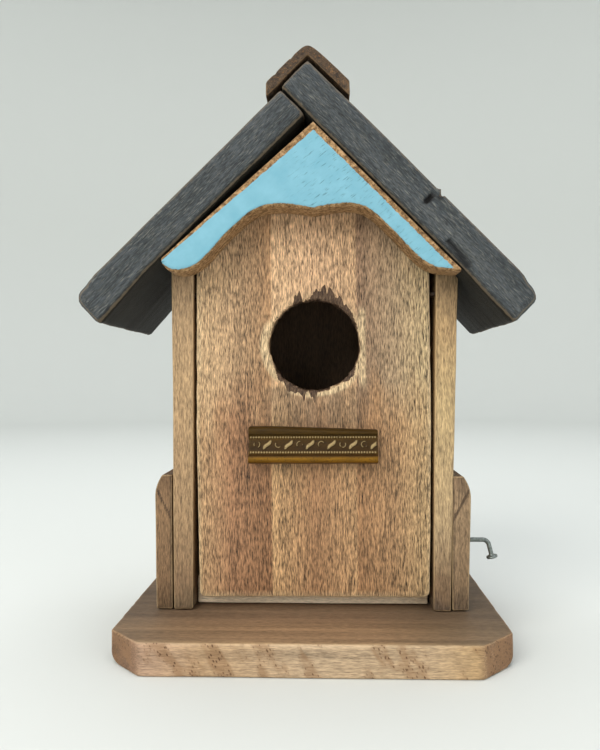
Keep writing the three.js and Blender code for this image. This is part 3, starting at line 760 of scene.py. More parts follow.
# %% Finish of the fascia
def fascia_finish():
    """Sky blue milk paint over bare softwood, sanded through on every edge and along the grain."""
    finish, tree, shader = new_finish("sky_blue_milk_paint", 0.68, specular=0.25)
    space = place_mm(tree, math.radians(37), 17)
    paint = add(tree, "ShaderNodeValToRGB", {0: noise(tree, space, 6.0, 3.0)},
                stops=[(0.32, "#74aabc"), (0.5, "#7aaebf"), (0.7, "#80b4c5")])
    lines = add(tree, "ShaderNodeMapRange", {0: noise(tree, along_grain(tree, space, "x", 9), 0.42,
                                                     2.0, 0.6), 1: 0.6, 2: 0.72, 4: 0.8})
    area = colour_along(tree, "x", -62, 63, [(-62, "#606060"), (-30, "#303030"), (-12, "#707070"),
                                             (2, "#ffffff"), (63, "#e0e0e0")],
                        add(tree, "ShaderNodeMath", {0: noise(tree, space, 6.0), 1: 26.0, 2: -13.0},
                            operation="MULTIPLY_ADD"))
    lines = add(tree, "ShaderNodeMath", {0: lines, 1: area}, operation="MULTIPLY")
    scored = add(tree, "ShaderNodeMix", {0: lines, 6: paint, 7: linear("#4f7078")},
                 data_type="RGBA")
    bare_wood = add(tree, "ShaderNodeValToRGB", {0: noise(tree, space, 1.6, 4.0, 0.7)},
                    stops=[(0.36, "#5d442b"), (0.5, "#96744d"), (0.66, "#c09c72")])
    rough = add(tree, "ShaderNodeMath", {0: noise(tree, along_grain(tree, space, "x", 4), 1.5,
                                                 4.0, 0.75), 1: 1.5, 2: -0.75},
                operation="MULTIPLY_ADD")
    bare = add(tree, "ShaderNodeMath", {0: mark(tree, "bare"), 1: rough}, operation="ADD")
    bare = add(tree, "ShaderNodeMapRange", {0: bare, 1: 0.42, 2: 0.58})
    specks = add(tree, "ShaderNodeMapRange", {0: noise(tree, space, 0.9, 3.0), 1: 0.56, 2: 0.66,
                                              4: 0.8})
    wooden = add(tree, "ShaderNodeMix", {0: specks, 6: bare_wood, 7: linear("#5b3f2a")},
                 data_type="RGBA")
    colour = add(tree, "ShaderNodeMix", {0: bare, 6: scored.outputs[2], 7: wooden.outputs[2]},
                 data_type="RGBA")
    depth = add(tree, "ShaderNodeMath", {0: lines, 1: bare}, operation="ADD")
    bump = add(tree, "ShaderNodeBump", {"Height": depth, "Distance": 0.1 * MM}, invert=True)
    tree.links.new(colour.outputs[2], shader.inputs["Base Color"])
    tree.links.new(bump.outputs[0], shader.inputs["Normal"])
    return finish


# %% Shape of the fascia
BAND = 3.2                      # height of the bands whose rounded edges keep their size


def fitted_height(height, block, room):
    """Height in the block to height in the room: bands keep their size, the middle stretches."""
    band = np.minimum(BAND, room / 2)
    low = np.minimum(height, BAND) * band / BAND
    middle = (np.clip(height, BAND, block - BAND) - BAND) / (block - 2 * BAND) * (room - 2 * band)
    high = np.maximum(height - block + BAND, 0) * band / BAND
    return low + middle + high


def gable_fascia():
    """Fitted between the roof line and the scallop, both read off the frame's outline."""
    node = "gable_fascia"
    low, high = box_mm(node)
    shape = corners_of(node)
    peak = furthest(node, 0, 1)
    left, right = furthest(node, -1, 0), furthest(node, 1, 0)

    def roof_line(x):
        return np.interp(x, [left[0], peak[0], right[0]], [left[1], peak[1], right[1]])

    under = shape[shape[:, 2] < roof_line(shape[:, 0]) - 0.05]
    order = np.argsort(under[:, 0])
    xs = np.arange(left[0], right[0], 0.4)
    edge_line = np.interp(xs, under[order, 0], under[order, 2])
    window = np.hanning(9) / np.hanning(9).sum()
    edge_line = np.convolve(np.pad(edge_line, 4, mode="edge"), window, mode="valid")
    end = 1.1
    block = 20.0

    def radius_at(sharp):
        return 0.9 + 1.5 * (1 - ramp(sharp[:, 2], 0, block))

    points, sharp, faces, edge = rounded_block(
        (left[0] + end, low[1], 0), (right[0] - end, high[1], block), 2.4, (0.6, 0.8, 0.6),
        0.3, 41, radius_at)
    x, y, z = points.T
    foot = np.interp(x, xs, edge_line)
    room = np.maximum(roof_line(x) - foot, 0.8)
    z = foot + fitted_height(z, block, room)
    points = np.stack([x, y, z], axis=1)
    wave = 0.18 * np.abs(soft_noise(points, (9, 9, 9), 43))
    points[:, 1] += wave * (1 - ramp(sharp[:, 1], low[1], low[1] + 2))
    to_foot = fitted_height(sharp[:, 2], block, room)
    to_roof = room - to_foot
    along = (sharp[:, 0] - peak[0]) / (right[0] - peak[0])
    wedge = np.where(along > 0, 3.4 - 0.6 * along, 3.6 + 2.4 * np.maximum(along, -1.0))
    bare = np.maximum(ramp(0.9 - to_foot, -0.9, 0.9), ramp(wedge - to_roof, -0.8, 0.8))
    return make_piece(node, points, [facing_out(points, faces)], fascia_finish(),
                      {"edge": edge, "bare": bare})


gable_fascia()

# %% [markdown]
# ## Boards with a hole
# The door has its entrance and the back wall its keyhole. A section of the board, from the hole
# out over the front, round the outline and home over the back, is carried round the hole. Each
# ray's length is the distance from the hole's middle to the outline, found from the reach of
# the frame's corners in many directions: distance = min over n of reach(n) / cos(ray, n).


# %% A section carried round a hole
RAYS = 840
NEAR_HOLE = 7.0                 # width of the fine rings round the hole


def outline_distance(node, middle, angles):
    """Distance from middle to the board's outline along each angle."""
    points = corners_of(node)[:, (0, 2)] - middle
    turns = np.radians(np.arange(0, 360, 0.25))
    normals = np.stack([np.cos(turns), np.sin(turns)])
    reaches = (points @ normals).max(axis=0)
    facing = np.cos(angles[:, None] - turns)
    return np.where(facing > 0.02, reaches / np.maximum(facing, 0.02), np.inf).min(axis=1)


def ring_board(node, middle, hole, round_, spans=26):
    """Points on rays (rows) and along the section (columns), with their distances.

    On the section a point's radius = (1 - t) * hole + t * outline + offset, where t goes from
    0 at the hole to 1 at the outline. The corners of the section are quarter rounds.
    """
    angles = np.arange(RAYS) * 2 * math.pi / RAYS
    inner = hole(angles)
    outer = outline_distance(node, middle, angles)
    low, high = box_mm(node)
    thick = high[1] - low[1]
    arc = np.linspace(0, math.pi / 2, 5)[:-1]
    bend_in, bend_up = round_ * (1 - np.cos(arc)), round_ * (1 - np.sin(arc))
    near = np.arange(round_, NEAR_HOLE, 0.36)
    share = np.linspace(0, 1, spans)[:-1]
    across = share * share * (3 - 2 * share) * 0.4 + share * 0.6
    back = np.linspace(1, 0, 12)[:-1]
    parts = [                    # share of the way to the outline, offset, depth
        (0 * arc, bend_in, bend_up),
        (0 * near, near, 0 * near),
        (across, NEAR_HOLE * (1 - across) - round_ * across, 0 * across),
        (1 + 0 * arc, -bend_in[::-1], bend_up[::-1]),
        (1 + 0 * arc, -bend_in, thick - bend_up),
        (back, round_ * (1 - 2 * back), thick + 0 * back),
        (0 * arc, bend_in[::-1], thick - bend_up[::-1]),
    ]
    t, offset, depth = (np.concatenate(column) for column in zip(*parts))
    radius = inner[:, None] * (1 - t) + outer[:, None] * t + offset
    x = middle[0] + radius * np.cos(angles)[:, None]
    z = middle[1] + radius * np.sin(angles)[:, None]
    y = np.broadcast_to(low[1] + depth, radius.shape)
    rays, rings = radius.shape
    number = np.arange(rays * rings).reshape(rays, rings)
    beside, beyond = np.roll(number, -1, axis=0), np.roll(number, -1, axis=1)
    corner = np.roll(beside, -1, axis=1)
    faces = np.stack([number, beside, corner, beyond], axis=-1).reshape(-1, 4)
    points = np.stack([x, y, z], axis=-1).reshape(-1, 3)
    from_hole = (radius - inner[:, None]).ravel()
    from_outline = (outer[:, None] - radius).ravel()
    return points, faces, from_hole, from_outline


# %% [markdown]
# ## The door
# Three strips glued edge to edge, the middle one lighter. It turns on two nails, and its foot
# swings out, so that the nest can be cleaned out. The saw tore the fibres round the entrance,
# and the tears run up and down with the grain. So the torn part is measured upwards and
# downwards from the hole's rim, as far as a short list says, and noise that changes across the
# grain only makes the list's line ragged.

# %% Strips of colour across the door, upper and lower half
GLUE_LINES = (-16.2, 19.6)
PERCH_TOP = box_mm("perch_moulding")[1][2]
STRIPS = [(-50, -16.6), (-15.8, 19.2), (20, 50)]    # edges of the three strips


def over_strips(tones):
    """Stops for colour_along: each strip's tone at its left edge, middle and right edge."""
    return [stop for (left, right), row in zip(STRIPS, tones)
            for stop in zip((left, (left + right) / 2, right), row)]


UPPER = over_strips([("#bc9c76", "#ab8b69", "#9b7755"), ("#c29e79", "#b89472", "#b4916e"),
                     ("#886b53", "#9b8265", "#b09872")])
LOWER = over_strips([("#ae8d67", "#976f50", "#906848"), ("#b89268", "#956f4e", "#ae8861"),
                     ("#946e4c", "#a07c58", "#ae9068")])


# %% Finish of the door: oiled meranti
def door_finish():
    """Oiled meranti: reddish brown, with dark pores like pencil ticks, cream where rubbed, and
    painted shade on the entrance hole's wall.
    """
    finish, tree, shader = new_finish("oiled_meranti_door", 0.6)
    space = place_mm(tree, shift=7)
    wander = add(tree, "ShaderNodeMath", {0: noise(tree, along_grain(tree, space, "z", 14), 6.0),
                                          1: 1.2, 2: -0.6}, operation="MULTIPLY_ADD")
    upper = colour_along(tree, "x", -50, 50, UPPER, wander)
    lower = colour_along(tree, "x", -50, 50, LOWER, wander)
    down = colour_along(tree, "z", 12, 190, [(12, "#ffffff"), (88, "#ffffff"), (112, "#000000"),
                                             (190, "#000000")],
                        add(tree, "ShaderNodeMath", {0: noise(tree, along_grain(
                            tree, space, "z", 5), 8.0), 1: 60.0, 2: -30.0},
                            operation="MULTIPLY_ADD"))
    ground = add(tree, "ShaderNodeMix", {0: down, 6: upper, 7: lower}, data_type="RGBA")
    # Darker below the entrance hole, down to the perch.
    below_hole_share = add(tree, "ShaderNodeMath", {0: mark(tree, "soiled"), 1: 0.75}, operation="MULTIPLY")
    soiled = add(tree, "ShaderNodeMix", {0: below_hole_share, 6: ground.outputs[2], 7: linear("#6b5844")},
                 data_type="RGBA")
    pale = add(tree, "ShaderNodeMath", {0: mark(tree, "pale"), 1: 0.8}, operation="MULTIPLY")
    haloed = add(tree, "ShaderNodeMix", {0: pale, 6: soiled.outputs[2], 7: linear("#c6ac86")},
                 data_type="RGBA")
    colour, _ = wood(tree, shader, haloed.outputs[2], space, "z", 1.7, 0.9, "#4d3420", 0.7,
                     0.16, rubbed(tree, space, 0.9, 0.7, 8.0), "#d0b791", grit=3.6)
    fibrous = noise(tree, along_grain(tree, space, "z", 5), 0.5, 3.0, 0.7)
    ragged = add(tree, "ShaderNodeMath", {0: fibrous, 1: 0.9, 2: -0.45}, operation="MULTIPLY_ADD")
    ragged = add(tree, "ShaderNodeMath", {0: mark(tree, "torn"), 1: ragged}, operation="ADD")
    torn = add(tree, "ShaderNodeMapRange", {0: ragged, 1: 0.4, 2: 0.6})
    char = add(tree, "ShaderNodeValToRGB", {0: fibrous},
               stops=[(0.36, "#2f2015"), (0.55, "#5a4331"), (0.7, "#7d6750")])
    split = add(tree, "ShaderNodeMix", {0: torn, 6: colour.outputs[2], 7: char}, data_type="RGBA")
    # Painted shade: the entrance hole's wall, back from the front face, is mixed to dark brown.
    bore = add(tree, "ShaderNodeMix", {0: mark(tree, "bore"), 6: split.outputs[2],
                                       7: linear("#3b2819")}, data_type="RGBA")
    tree.links.new(bore.outputs[2], shader.inputs["Base Color"])
    return finish


# %% The torn rim, in mm from the hole's middle
ENTRANCE = {"x": 1.9, "z": BASE_TOP + 112.4, "radius": 19.1}
TORN_ABOVE = [(-9.2, 0), (-8.4, 4.4), (-5.6, 5.0), (-4.9, 0.6), (-1.8, 0.5), (-1.0, 3.0), (2, 5.2),
              (5, 6.6), (9, 5.6), (12, 4.4), (15, 3.8), (16.6, 3.0), (18, 3.2), (18.9, 0)]
TORN_BELOW = [(-16.6, 0), (-15.6, 3.2), (-13, 2.6), (-11, 4.0), (-8, 3.0), (-6.4, 3.4),
              (-5.6, 5.0), (-4.4, 4.8), (-3.6, 0.8), (-2.0, 1.6), (-1.2, 4.6), (0.2, 5.0),
              (1.2, 1.0), (11.6, 0.4), (13, 2.6), (15, 4.6), (16.6, 4.4), (17.6, 0)]


def torn_at(x, z):
    """How torn each point is: above 0.5 where its height past the rim is within the reach."""
    across, up = x - ENTRANCE["x"], z - ENTRANCE["z"]
    rim = np.sqrt(np.maximum(ENTRANCE["radius"] ** 2 - across ** 2, 0))
    flat = np.stack([across, 0 * across, np.sign(up) * 50], axis=1)
    ragged = 0.8 + 0.35 * soft_noise(flat, (0.9, 1, 1), 57)
    above = np.interp(across, *zip(*TORN_ABOVE)) * ragged
    below = np.interp(across, *zip(*TORN_BELOW)) * ragged
    reach = np.where(up > 0, above, below)
    past = np.abs(up) - rim
    return ramp(reach - past, -0.5, 0.5) * ramp(reach, 0.3, 0.9)


# %% [markdown]
# ## A bore for the latch nail
# Pushed home, the latch nail enters the door's right edge. A Boolean modifier takes a round bar
# away from the finished board, and its result becomes the board's mesh, so that the board stays
# one closed piece. The bar is removed again.

# %% The bore and the cut
# The bore starts inside the door, at its blind end. The bar runs on well past the door's edge.
LATCH_BORE = {"from": 43.2, "to": 60.0, "z": BASE_TOP + 29.6, "radius": 1.25}
BORE_SIDES = 24


def drilled(made, bore, y):
    """The piece less a round bar along X, so that the latch nail can slide into it."""
    x = np.array([bore["from"], bore["to"]])
    near = np.arange(BORE_SIDES)
    turn = near * 2 * math.pi / BORE_SIDES
    rings = np.stack([np.repeat(x, BORE_SIDES), y + bore["radius"] * np.tile(np.cos(turn), 2),
                      bore["z"] + bore["radius"] * np.tile(np.sin(turn), 2)], axis=1)
    beside = np.roll(near, -1)
    walls = np.stack([near, beside, beside + BORE_SIDES, near + BORE_SIDES], axis=-1)
    bar = bpy.data.meshes.new("latch_bore")
    bar.from_pydata(rings * MM, [], facing_out(rings, walls).tolist()
                    + [near[::-1].tolist(), (near + BORE_SIDES).tolist()])
    cutter = bpy.data.objects.new("latch_bore", bar)
    bpy.context.scene.collection.objects.link(cutter)
    cut = made.modifiers.new("latch_bore", "BOOLEAN")
    cut.object, cut.operation, cut.solver = cutter, "DIFFERENCE", "EXACT"
    evaluated = made.evaluated_get(bpy.context.evaluated_depsgraph_get())
    mesh = bpy.data.meshes.new_from_object(evaluated)
    made.modifiers.remove(cut)
    made.data = mesh
    bpy.data.objects.remove(cutter)
    print(f"{made.name}: {len(mesh.vertices)} points after drilling")
    return made


# %% The whole door
def front_door():
    """The ring board, its face sunk 0.5 mm where torn, its edges worn unevenly."""
    middle = np.array([ENTRANCE["x"], ENTRANCE["z"]])
    points, faces, from_hole, from_outline = ring_board(
        "front_door", middle, lambda angle: ENTRANCE["radius"] + 0 * angle, 1.3)
    x, y, z = points.T
    low, high = box_mm("front_door")
    face = 1 - ramp(y, low[1], low[1] + 1.5)
    torn = torn_at(x, z) * ramp(y, high[1], high[1] - 3)
    wave = 0.25 * np.abs(soft_noise(points, (6, 6, 60), 51))
    fray = 0.5 * ramp(1.2 - from_hole, 0, 1.2) * soft_noise(points, (0.8, 5, 3), 53)
    direction = (points[:, (0, 2)] - middle) / np.hypot(x - middle[0], z - middle[1])[:, None]
    in_out = fray - 0.3 * ramp(1.4 - from_outline, 0, 1.2) * np.abs(soft_noise(points, 7, 54))
    points[:, 0] += direction[:, 0] * in_out
    points[:, 2] += direction[:, 1] * in_out
    points[:, 1] += face * (wave + 0.5 * torn * (0.6 + 0.4 * soft_noise(points, (0.7, 1, 4), 55)))
    halo = 3.0 + 1.2 * soft_noise(points, (4, 4, 9), 56)
    lit = 1 - 0.75 * ramp(z - middle[1], 6, 15)
    pale = ramp(halo - from_hole, -0.8, 0.8) * lit * (1 - torn)
    strip = ramp(1.6 - np.abs(x - GLUE_LINES[1] - 2.4), -0.6, 0.8) * ramp(
        15 + 4 * soft_noise(points, (3, 3, 12), 58) - np.abs(z - middle[1]), -2, 3)
    # A darker patch below the hole, down to the perch.
    below = ramp(middle[1] - z, 16, 19) * ramp(24 - np.abs(x - middle[0]), 0, 8)
    soiled = below * ramp(z - PERCH_TOP, -6, 2) * (0.8 + 0.3 * soft_noise(points, (3, 3, 12), 59))
    from_edge = np.minimum(from_outline, x - low[0] + 0.4)
    bright = 0.75 + 0.5 * soft_noise(points, (9, 9, 22), 60)
    cream = ramp(2.0 + 0.4 * soft_noise(points, (4, 4, 4), 62) - from_edge, -0.4,
                 0.5) * bright
    strip = np.maximum(strip, cream)
    marks = {"edge": np.where(from_hole < from_outline, from_hole + 1.2, from_outline),
             "soiled": soiled * face,
             "torn": torn, "pale": np.clip(np.maximum(pale, 0.9 * strip), 0, 1) * face,
             # bore: the entrance hole's wall behind the front face, painted as shade.
             "bore": ramp(0.5 - from_hole, 0, 0.5) * ramp(y, low[1] + 0.6, low[1] + 2)}
    made = make_piece("front_door", points, [facing_out(points, faces)], door_finish(), marks)
    return drilled(made, LATCH_BORE, (low[1] + high[1]) / 2)


front_door()

# %% [markdown]
# ## Back wall
# It carries the keyhole that the house hangs on. The keyhole is a circle with a slot above, and
# every ray from the circle's middle meets its edge once, so it has a formula too.

# %% Keyhole and back wall
BACK_HEIGHTS = [(12, "#8a6e50"), (60, "#a98863"), (120, "#b39069"), (170, "#a5845f")]
KEYHOLE = {"x": 0.0, "z": BASE_TOP + 168, "head": 5.0, "half": 2.6, "top": 12.0}


def keyhole(angles):
    """Longest of the circle, the slot's side at half / sin, and the slot's round end.

    The end is a circle of radius half at height top: r = top cos a + sqrt(half^2 - top^2 sin^2 a).
    """
    off = np.abs((angles - math.pi / 2 + math.pi) % (2 * math.pi) - math.pi)
    half, top = KEYHOLE["half"], KEYHOLE["top"]
    inside = half ** 2 - (top * np.sin(off)) ** 2
    end = top * np.cos(off) + np.sqrt(np.maximum(inside, 0))
    side = half / np.maximum(np.sin(off), 1e-6)
    slot = np.where((inside > 0) & (off < 1), end, np.where(off < 1, side, 0))
    return np.maximum(slot, KEYHOLE["head"])


def back_wall():
    """The ring board round the keyhole."""
    middle = np.array([KEYHOLE["x"], KEYHOLE["z"]])
    points, faces, from_hole, from_outline = ring_board("back_wall", middle, keyhole, 0.7, 40)
    low, high = box_mm("back_wall")
    wave = 0.25 * np.abs(soft_noise(points, (7, 7, 70), 61))
    middle_y = (low[1] + high[1]) / 2
    points[:, 1] -= np.sign(points[:, 1] - middle_y) * wave
    # The inner face gets dark brown as painted shade inside the house.
    finish = wall_finish("oiled_pine_back_wall", BACK_HEIGHTS, 29, "#57412d")
    edge = np.minimum(from_hole, from_outline)
    marks = {"edge": edge, "inside": 1 - ramp(points[:, 1], low[1] + 0.5, low[1] + 1.5)}
    return make_piece("back_wall", points, [facing_out(points, faces)], finish, marks)


back_wall()

# %% [markdown]
# ## Perch moulding
# A piece of gilt picture-frame moulding glued across the door. Its front is one curve up the
# section, read off the frame. The ornament stands on it as a relief: two rows of beads, each a
# half ball, and a run of slanted leaves, each a tilted ellipse with a small curl beside it.

# %% Ornament of the moulding, in mm
BEAD = {"rows": (4.9, 11.0), "pitch": 1.12, "radius": 0.46}
LEAF = {"pitch": 8.9, "middle": 8.0, "long": 2.9, "wide": 0.85, "lean": math.radians(50),
        "rise": 0.7}
CURL = {"off": 4.3, "up": 0.1, "radius": 2.0, "rise": 0.5}
ORNAMENT_BAND = (5.7, 10.2)


def relief_at(along, up):
    """Height of beads and leaves above the section, and how much of it is raised (0 to 1)."""
    step = BEAD["pitch"]
    bead_x = (along + step / 2) % step - step / 2
    ball = np.zeros_like(along)
    for row in BEAD["rows"]:
        left = BEAD["radius"] ** 2 - bead_x ** 2 - (up - row) ** 2
        ball = np.maximum(ball, np.sqrt(np.maximum(left, 0)))
    step = LEAF["pitch"]
    x = (along + step / 2) % step - step / 2
    z = up - LEAF["middle"]
    cos, sin = math.cos(LEAF["lean"]), math.sin(LEAF["lean"])
    run, side = x * cos + z * sin, -x * sin + z * cos
    side = side + 0.28 * np.sin(run * 1.3)
    leaf = LEAF["rise"] * np.maximum(1 - (run / LEAF["long"]) ** 2 - (side / LEAF["wide"]) ** 2, 0)
    off = np.hypot((along + CURL["off"] + step / 2) % step - step / 2, z - CURL["up"])
    curl = CURL["rise"] * ramp(1 - np.abs(off - CURL["radius"] * 0.6) / 0.42, 0, 1)
    curl = curl * ramp(soft_noise(np.stack([along, 0 * along, up], axis=1), 1.6, 77), -0.25, 0.3)
    leaves = np.maximum(np.sqrt(leaf * LEAF["rise"]), curl)
    leaves = leaves * ramp(up, ORNAMENT_BAND[0], ORNAMENT_BAND[0] + 0.6)
    leaves = leaves * (1 - ramp(up, ORNAMENT_BAND[1] - 0.6, ORNAMENT_BAND[1]))
    return ball + leaves, ramp(np.maximum(ball / BEAD["radius"], leaves / LEAF["rise"]), 0.25, 0.8)


def moulding_finish():
    """Old gilt over gesso: bronze-brown, dark in the hollows, worn to gold on the lip."""
    finish, tree, shader = new_finish("aged_gilt_moulding", 0.52, 0.25, 0.2)
    space = place_mm(tree, shift=19)
    low = box_mm("perch_moulding")[0][2]
    ground = colour_along(tree, "z", low, low + 16, [
        (low, "#4e3306"), (low + 0.9, "#754f0d"), (low + 2.6, "#785410"), (low + 3.7, "#3a2304"),
        (low + 4.6, "#493205"), (low + 5.7, "#352205"), (low + 9.6, "#3d2908"),
        (low + 10.4, "#4b3308"), (low + 11.8, "#402c05"), (low + 16, "#3f2b06")])
    smear = noise(tree, along_grain(tree, space, "x", 5), 1.5, 4.0, 0.65)
    tone = add(tree, "ShaderNodeMath", {0: smear, 1: 1.5, 2: 0.25}, operation="MULTIPLY_ADD")
    toned = add(tree, "ShaderNodeHueSaturation", {"Value": tone, "Color": ground})
    high = add(tree, "ShaderNodeMath", {0: mark(tree, "raised"), 1: 0.75}, operation="MULTIPLY")
    tan = add(tree, "ShaderNodeMix", {0: high, 6: toned, 7: linear("#b39a6c")}, data_type="RGBA")
    spots = add(tree, "ShaderNodeMapRange", {0: noise(tree, space, 0.7, 3.0), 1: 0.57, 2: 0.68,
                                             4: 0.65})
    colour = add(tree, "ShaderNodeMix", {0: spots, 6: tan.outputs[2], 7: linear("#2c2012")},
                 data_type="RGBA")
    bump = add(tree, "ShaderNodeBump", {"Height": smear, "Distance": 0.12 * MM})
    dull = add(tree, "ShaderNodeMapRange", {0: smear, 1: 0.3, 2: 0.7, 3: 0.36, 4: 0.62})
    tree.links.new(dull.outputs[0], shader.inputs["Roughness"])
    tree.links.new(colour.outputs[2], shader.inputs["Base Color"])
    tree.links.new(bump.outputs[0], shader.inputs["Normal"])
    return finish


def perch_moulding():
    """A fine block whose depth follows the section, with the ornament raised on the front."""
    node = "perch_moulding"
    low, high = box_mm(node)
    shape = corners_of(node)
    end = shape[(shape[:, 0] < low[0] + 0.01) & (shape[:, 1] < high[1] - 0.5)]
    end = end[np.argsort(end[:, 2])]
    heights = np.arange(low[2], high[2] + 0.1, 0.1)
    outs = np.interp(heights, end[:, 2], high[1] - end[:, 1])
    window = np.hanning(9) / np.hanning(9).sum()
    outs = np.convolve(np.pad(outs, 4, mode="edge"), window, mode="valid")
    points, sharp, faces, edge = rounded_block(low, high, 0.55, (0.2, 1.2, 0.2), 0.4, 71)
    x, y, z = points.T
    deep = high[1] - low[1]
    share = (high[1] - y) / deep
    out = np.interp(z, heights, outs)
    face = ramp(high[1] - sharp[:, 1], deep * 0.8, deep)
    rise, raised = relief_at(x, z - low[2])
    inner = ramp(np.minimum(x - low[0], high[0] - x), 0.3, 1.0)
    y = high[1] - share * (out - 0.45) - rise * face * inner
    planed = 1.5 * np.clip((x - low[0] - 10) / (high[0] - low[0] - 10), 0, 1)
    z = low[2] + (z - low[2]) * np.where(z - low[2] > 12,
                                         1 - planed * ((z - low[2] - 12) / 3.4) / (z - low[2]), 1)
    points = np.stack([x, y, z], axis=1)
    return make_piece(node, points, [facing_out(points, faces)], moulding_finish(),
                      {"edge": edge, "raised": raised * face * inner})


perch_moulding()

# %% [markdown]
# ## Side trims
# A short board stands beside each wall's foot with its front end showing. Its top is worn to a
# slanted shoulder: the outer face leans in by an amount that grows with the height.

# %% Finish and shape of the trims
TRIM_TONES = {
    "left": [(12, "#58442f"), (24, "#7c6045"), (56, "#8a6c4e"), (74, "#664d37")],
    "right": [(12, "#5c4b3a"), (24, "#846b50"), (56, "#93795c"), (74, "#6d5742")]}


def trim_finish(side):
    """Weathered softwood offcut, oiled: mid brown, black where the end grain drew up dirt."""
    finish, tree, shader = new_finish(f"weathered_oiled_trim_{side}", 0.68)
    space = place_mm(tree, shift=37 if side == "left" else 53)
    ground = colour_along(tree, "z", 12, 74, TRIM_TONES[side],
                          add(tree, "ShaderNodeMath", {0: noise(tree, space, 3.0), 1: 10.0,
                                                       2: -5.0}, operation="MULTIPLY_ADD"))
    dirt = add(tree, "ShaderNodeMath", {
        0: noise(tree, along_grain(tree, space, "z", 4), 1.6, 4.0, 0.7), 1: 1.1, 2: -0.55},
        operation="MULTIPLY_ADD")
    dirty = add(tree, "ShaderNodeMath", {0: mark(tree, "dirt"), 1: dirt}, operation="ADD")
    dirty = add(tree, "ShaderNodeMapRange", {0: dirty, 1: 0.3, 2: 0.75, 4: 0.85})
    dark = add(tree, "ShaderNodeMix", {0: dirty, 6: ground, 7: linear("#493829")},
               data_type="RGBA")
    wood(tree, shader, dark.outputs[2], space, "z", 0.95, 0.5, "#3d2c1e", 0.65, 0.16,
         rubbed(tree, space, 0.8, 0.6), "#b39872")
    return finish


def side_trim(side, sign):
    """A block leaned over its corners, its outer face worn in above the shoulder."""
    node = f"{side}_side_trim"
    low, high = box_mm(node)
    out_low, in_low = (low[0], high[0]) if sign < 0 else (high[0], low[0])
    tall = high[2] - low[2]
    worn_from = tall - 9.5

    def dents(points, sharp, wide, tall_):
        """x shrinks towards the inner face by (height past the shoulder)^2 / 28, up to 3.4 mm."""
        past = np.maximum(points[:, 2] - worn_from, 0)
        lean = np.minimum(past ** 2 / 28, 3.4)
        moved = points.copy()
        moved[:, 0] = points[:, 0] * (wide - lean) / wide
        return moved

    def marks_at(sharp, placed):
        front = 1 - ramp(sharp[:, 1], low[1], low[1] + 2)
        inward = np.abs(placed[:, 0] - out_low) / abs(in_low - out_low)
        band = (tall - 4 - 16 * inward) - sharp[:, 2]
        return {"dirt": front * np.maximum(ramp(2.4 - np.abs(band), 0, 2.4),
                                           ramp(inward, 0.74, 0.95) * 0.8)}

    foot_in = furthest(node, -sign, -1)
    foot_out = furthest(node, sign, -3)
    corners = [foot_in, foot_out, (out_low, high[2]), (foot_in[0], high[2])]
    return four_cornered(node, corners, trim_finish(side), 1.0, (0.7, 1.8, 1.0), 2, 0.3,
                         81 if side == "left" else 82, 0.3, dents, None, marks_at)


side_trim("left", -1)
side_trim("right", 1)

# %% [markdown]
# ## Nails and screws
# Every nail is rings carried along a path, and closed by a point at each end. A ring's radius is
# read from a table of places along the nail: small dome, head, shank, point. A straight nail's
# axis is found from the frame: it is the long direction of its corners, and its head is the end
# where the corners lie further out. The latch nail uses the same function on a bent path.


# %% Rings carried along a path
def carried_rings(centres, normals, across, radii, sides=28):
    """Ring i: centre_i + r_i (cos a * normal_i + sin a * across_i); the two ends are points."""
    turn = np.arange(sides) * 2 * math.pi / sides
    rings = (np.cos(turn)[None, :, None] * normals[1:-1, None, :]
             + np.sin(turn)[None, :, None] * across[1:-1, None, :])
    rings = centres[1:-1, None, :] + radii[1:-1, None, None] * rings
    count = len(rings)
    points = np.concatenate([rings.reshape(-1, 3), centres[:1], centres[-1:]])
    number = np.arange(count * sides).reshape(count, sides)
    beside = np.roll(number, -1, axis=1)
    walls = np.stack([number[:-1], beside[:-1], beside[1:], number[1:]], -1).reshape(-1, 4)
    first, last = count * sides, count * sides + 1
    start = np.stack([beside[0], number[0], np.full(sides, first)], axis=-1)
    finish = np.stack([number[-1], beside[-1], np.full(sides, last)], axis=-1)
    volume = np.einsum("ij,ij->", points[walls[:, 0]] - points[walls[:, 0]].mean(0),
                       np.cross(points[walls[:, 1]] - points[walls[:, 0]],
                                points[walls[:, 3]] - points[walls[:, 0]]))
    if volume < 0:
        walls, start, finish = walls[:, ::-1], start[:, ::-1], finish[:, ::-1]
    return points, [walls, start, finish]


def steel_finish(name, light, dark, rust, roughness):
    """Drawn mild steel wire: grey-green, satin, with a little brown rust in patches."""
    finish, tree, shader = new_finish(name, roughness, 0.85, 0.5)
    space = place_mm(tree, shift=91)
    metal = add(tree, "ShaderNodeValToRGB", {0: noise(tree, space, 0.8, 4.0, 0.6)},
                stops=[(0.34, dark), (0.66, light)])
    spots = add(tree, "ShaderNodeMapRange", {0: noise(tree, space, 1.4, 4.0, 0.7), 1: 0.54,
                                             2: 0.66, 4: rust})
    colour = add(tree, "ShaderNodeMix", {0: spots, 6: metal, 7: linear("#5b4436")},
                 data_type="RGBA")
    dull = add(tree, "ShaderNodeMapRange", {0: spots, 3: roughness, 4: 0.75})
    bump = add(tree, "ShaderNodeBump", {"Height": metal.outputs[0], "Distance": 0.04 * MM})
    tree.links.new(colour.outputs[2], shader.inputs["Base Color"])
    tree.links.new(dull.outputs[0], shader.inputs["Roughness"])
    tree.links.new(bump.outputs[0], shader.inputs["Normal"])
    return finish


NAIL_STEEL = steel_finish("drawn_steel_nails", "#787d78", "#4a4f4d", 0.7, 0.45)
PIVOT_STEEL = steel_finish("rusted_pivot_nails", "#4b4039", "#2b231e", 0.9, 0.6)


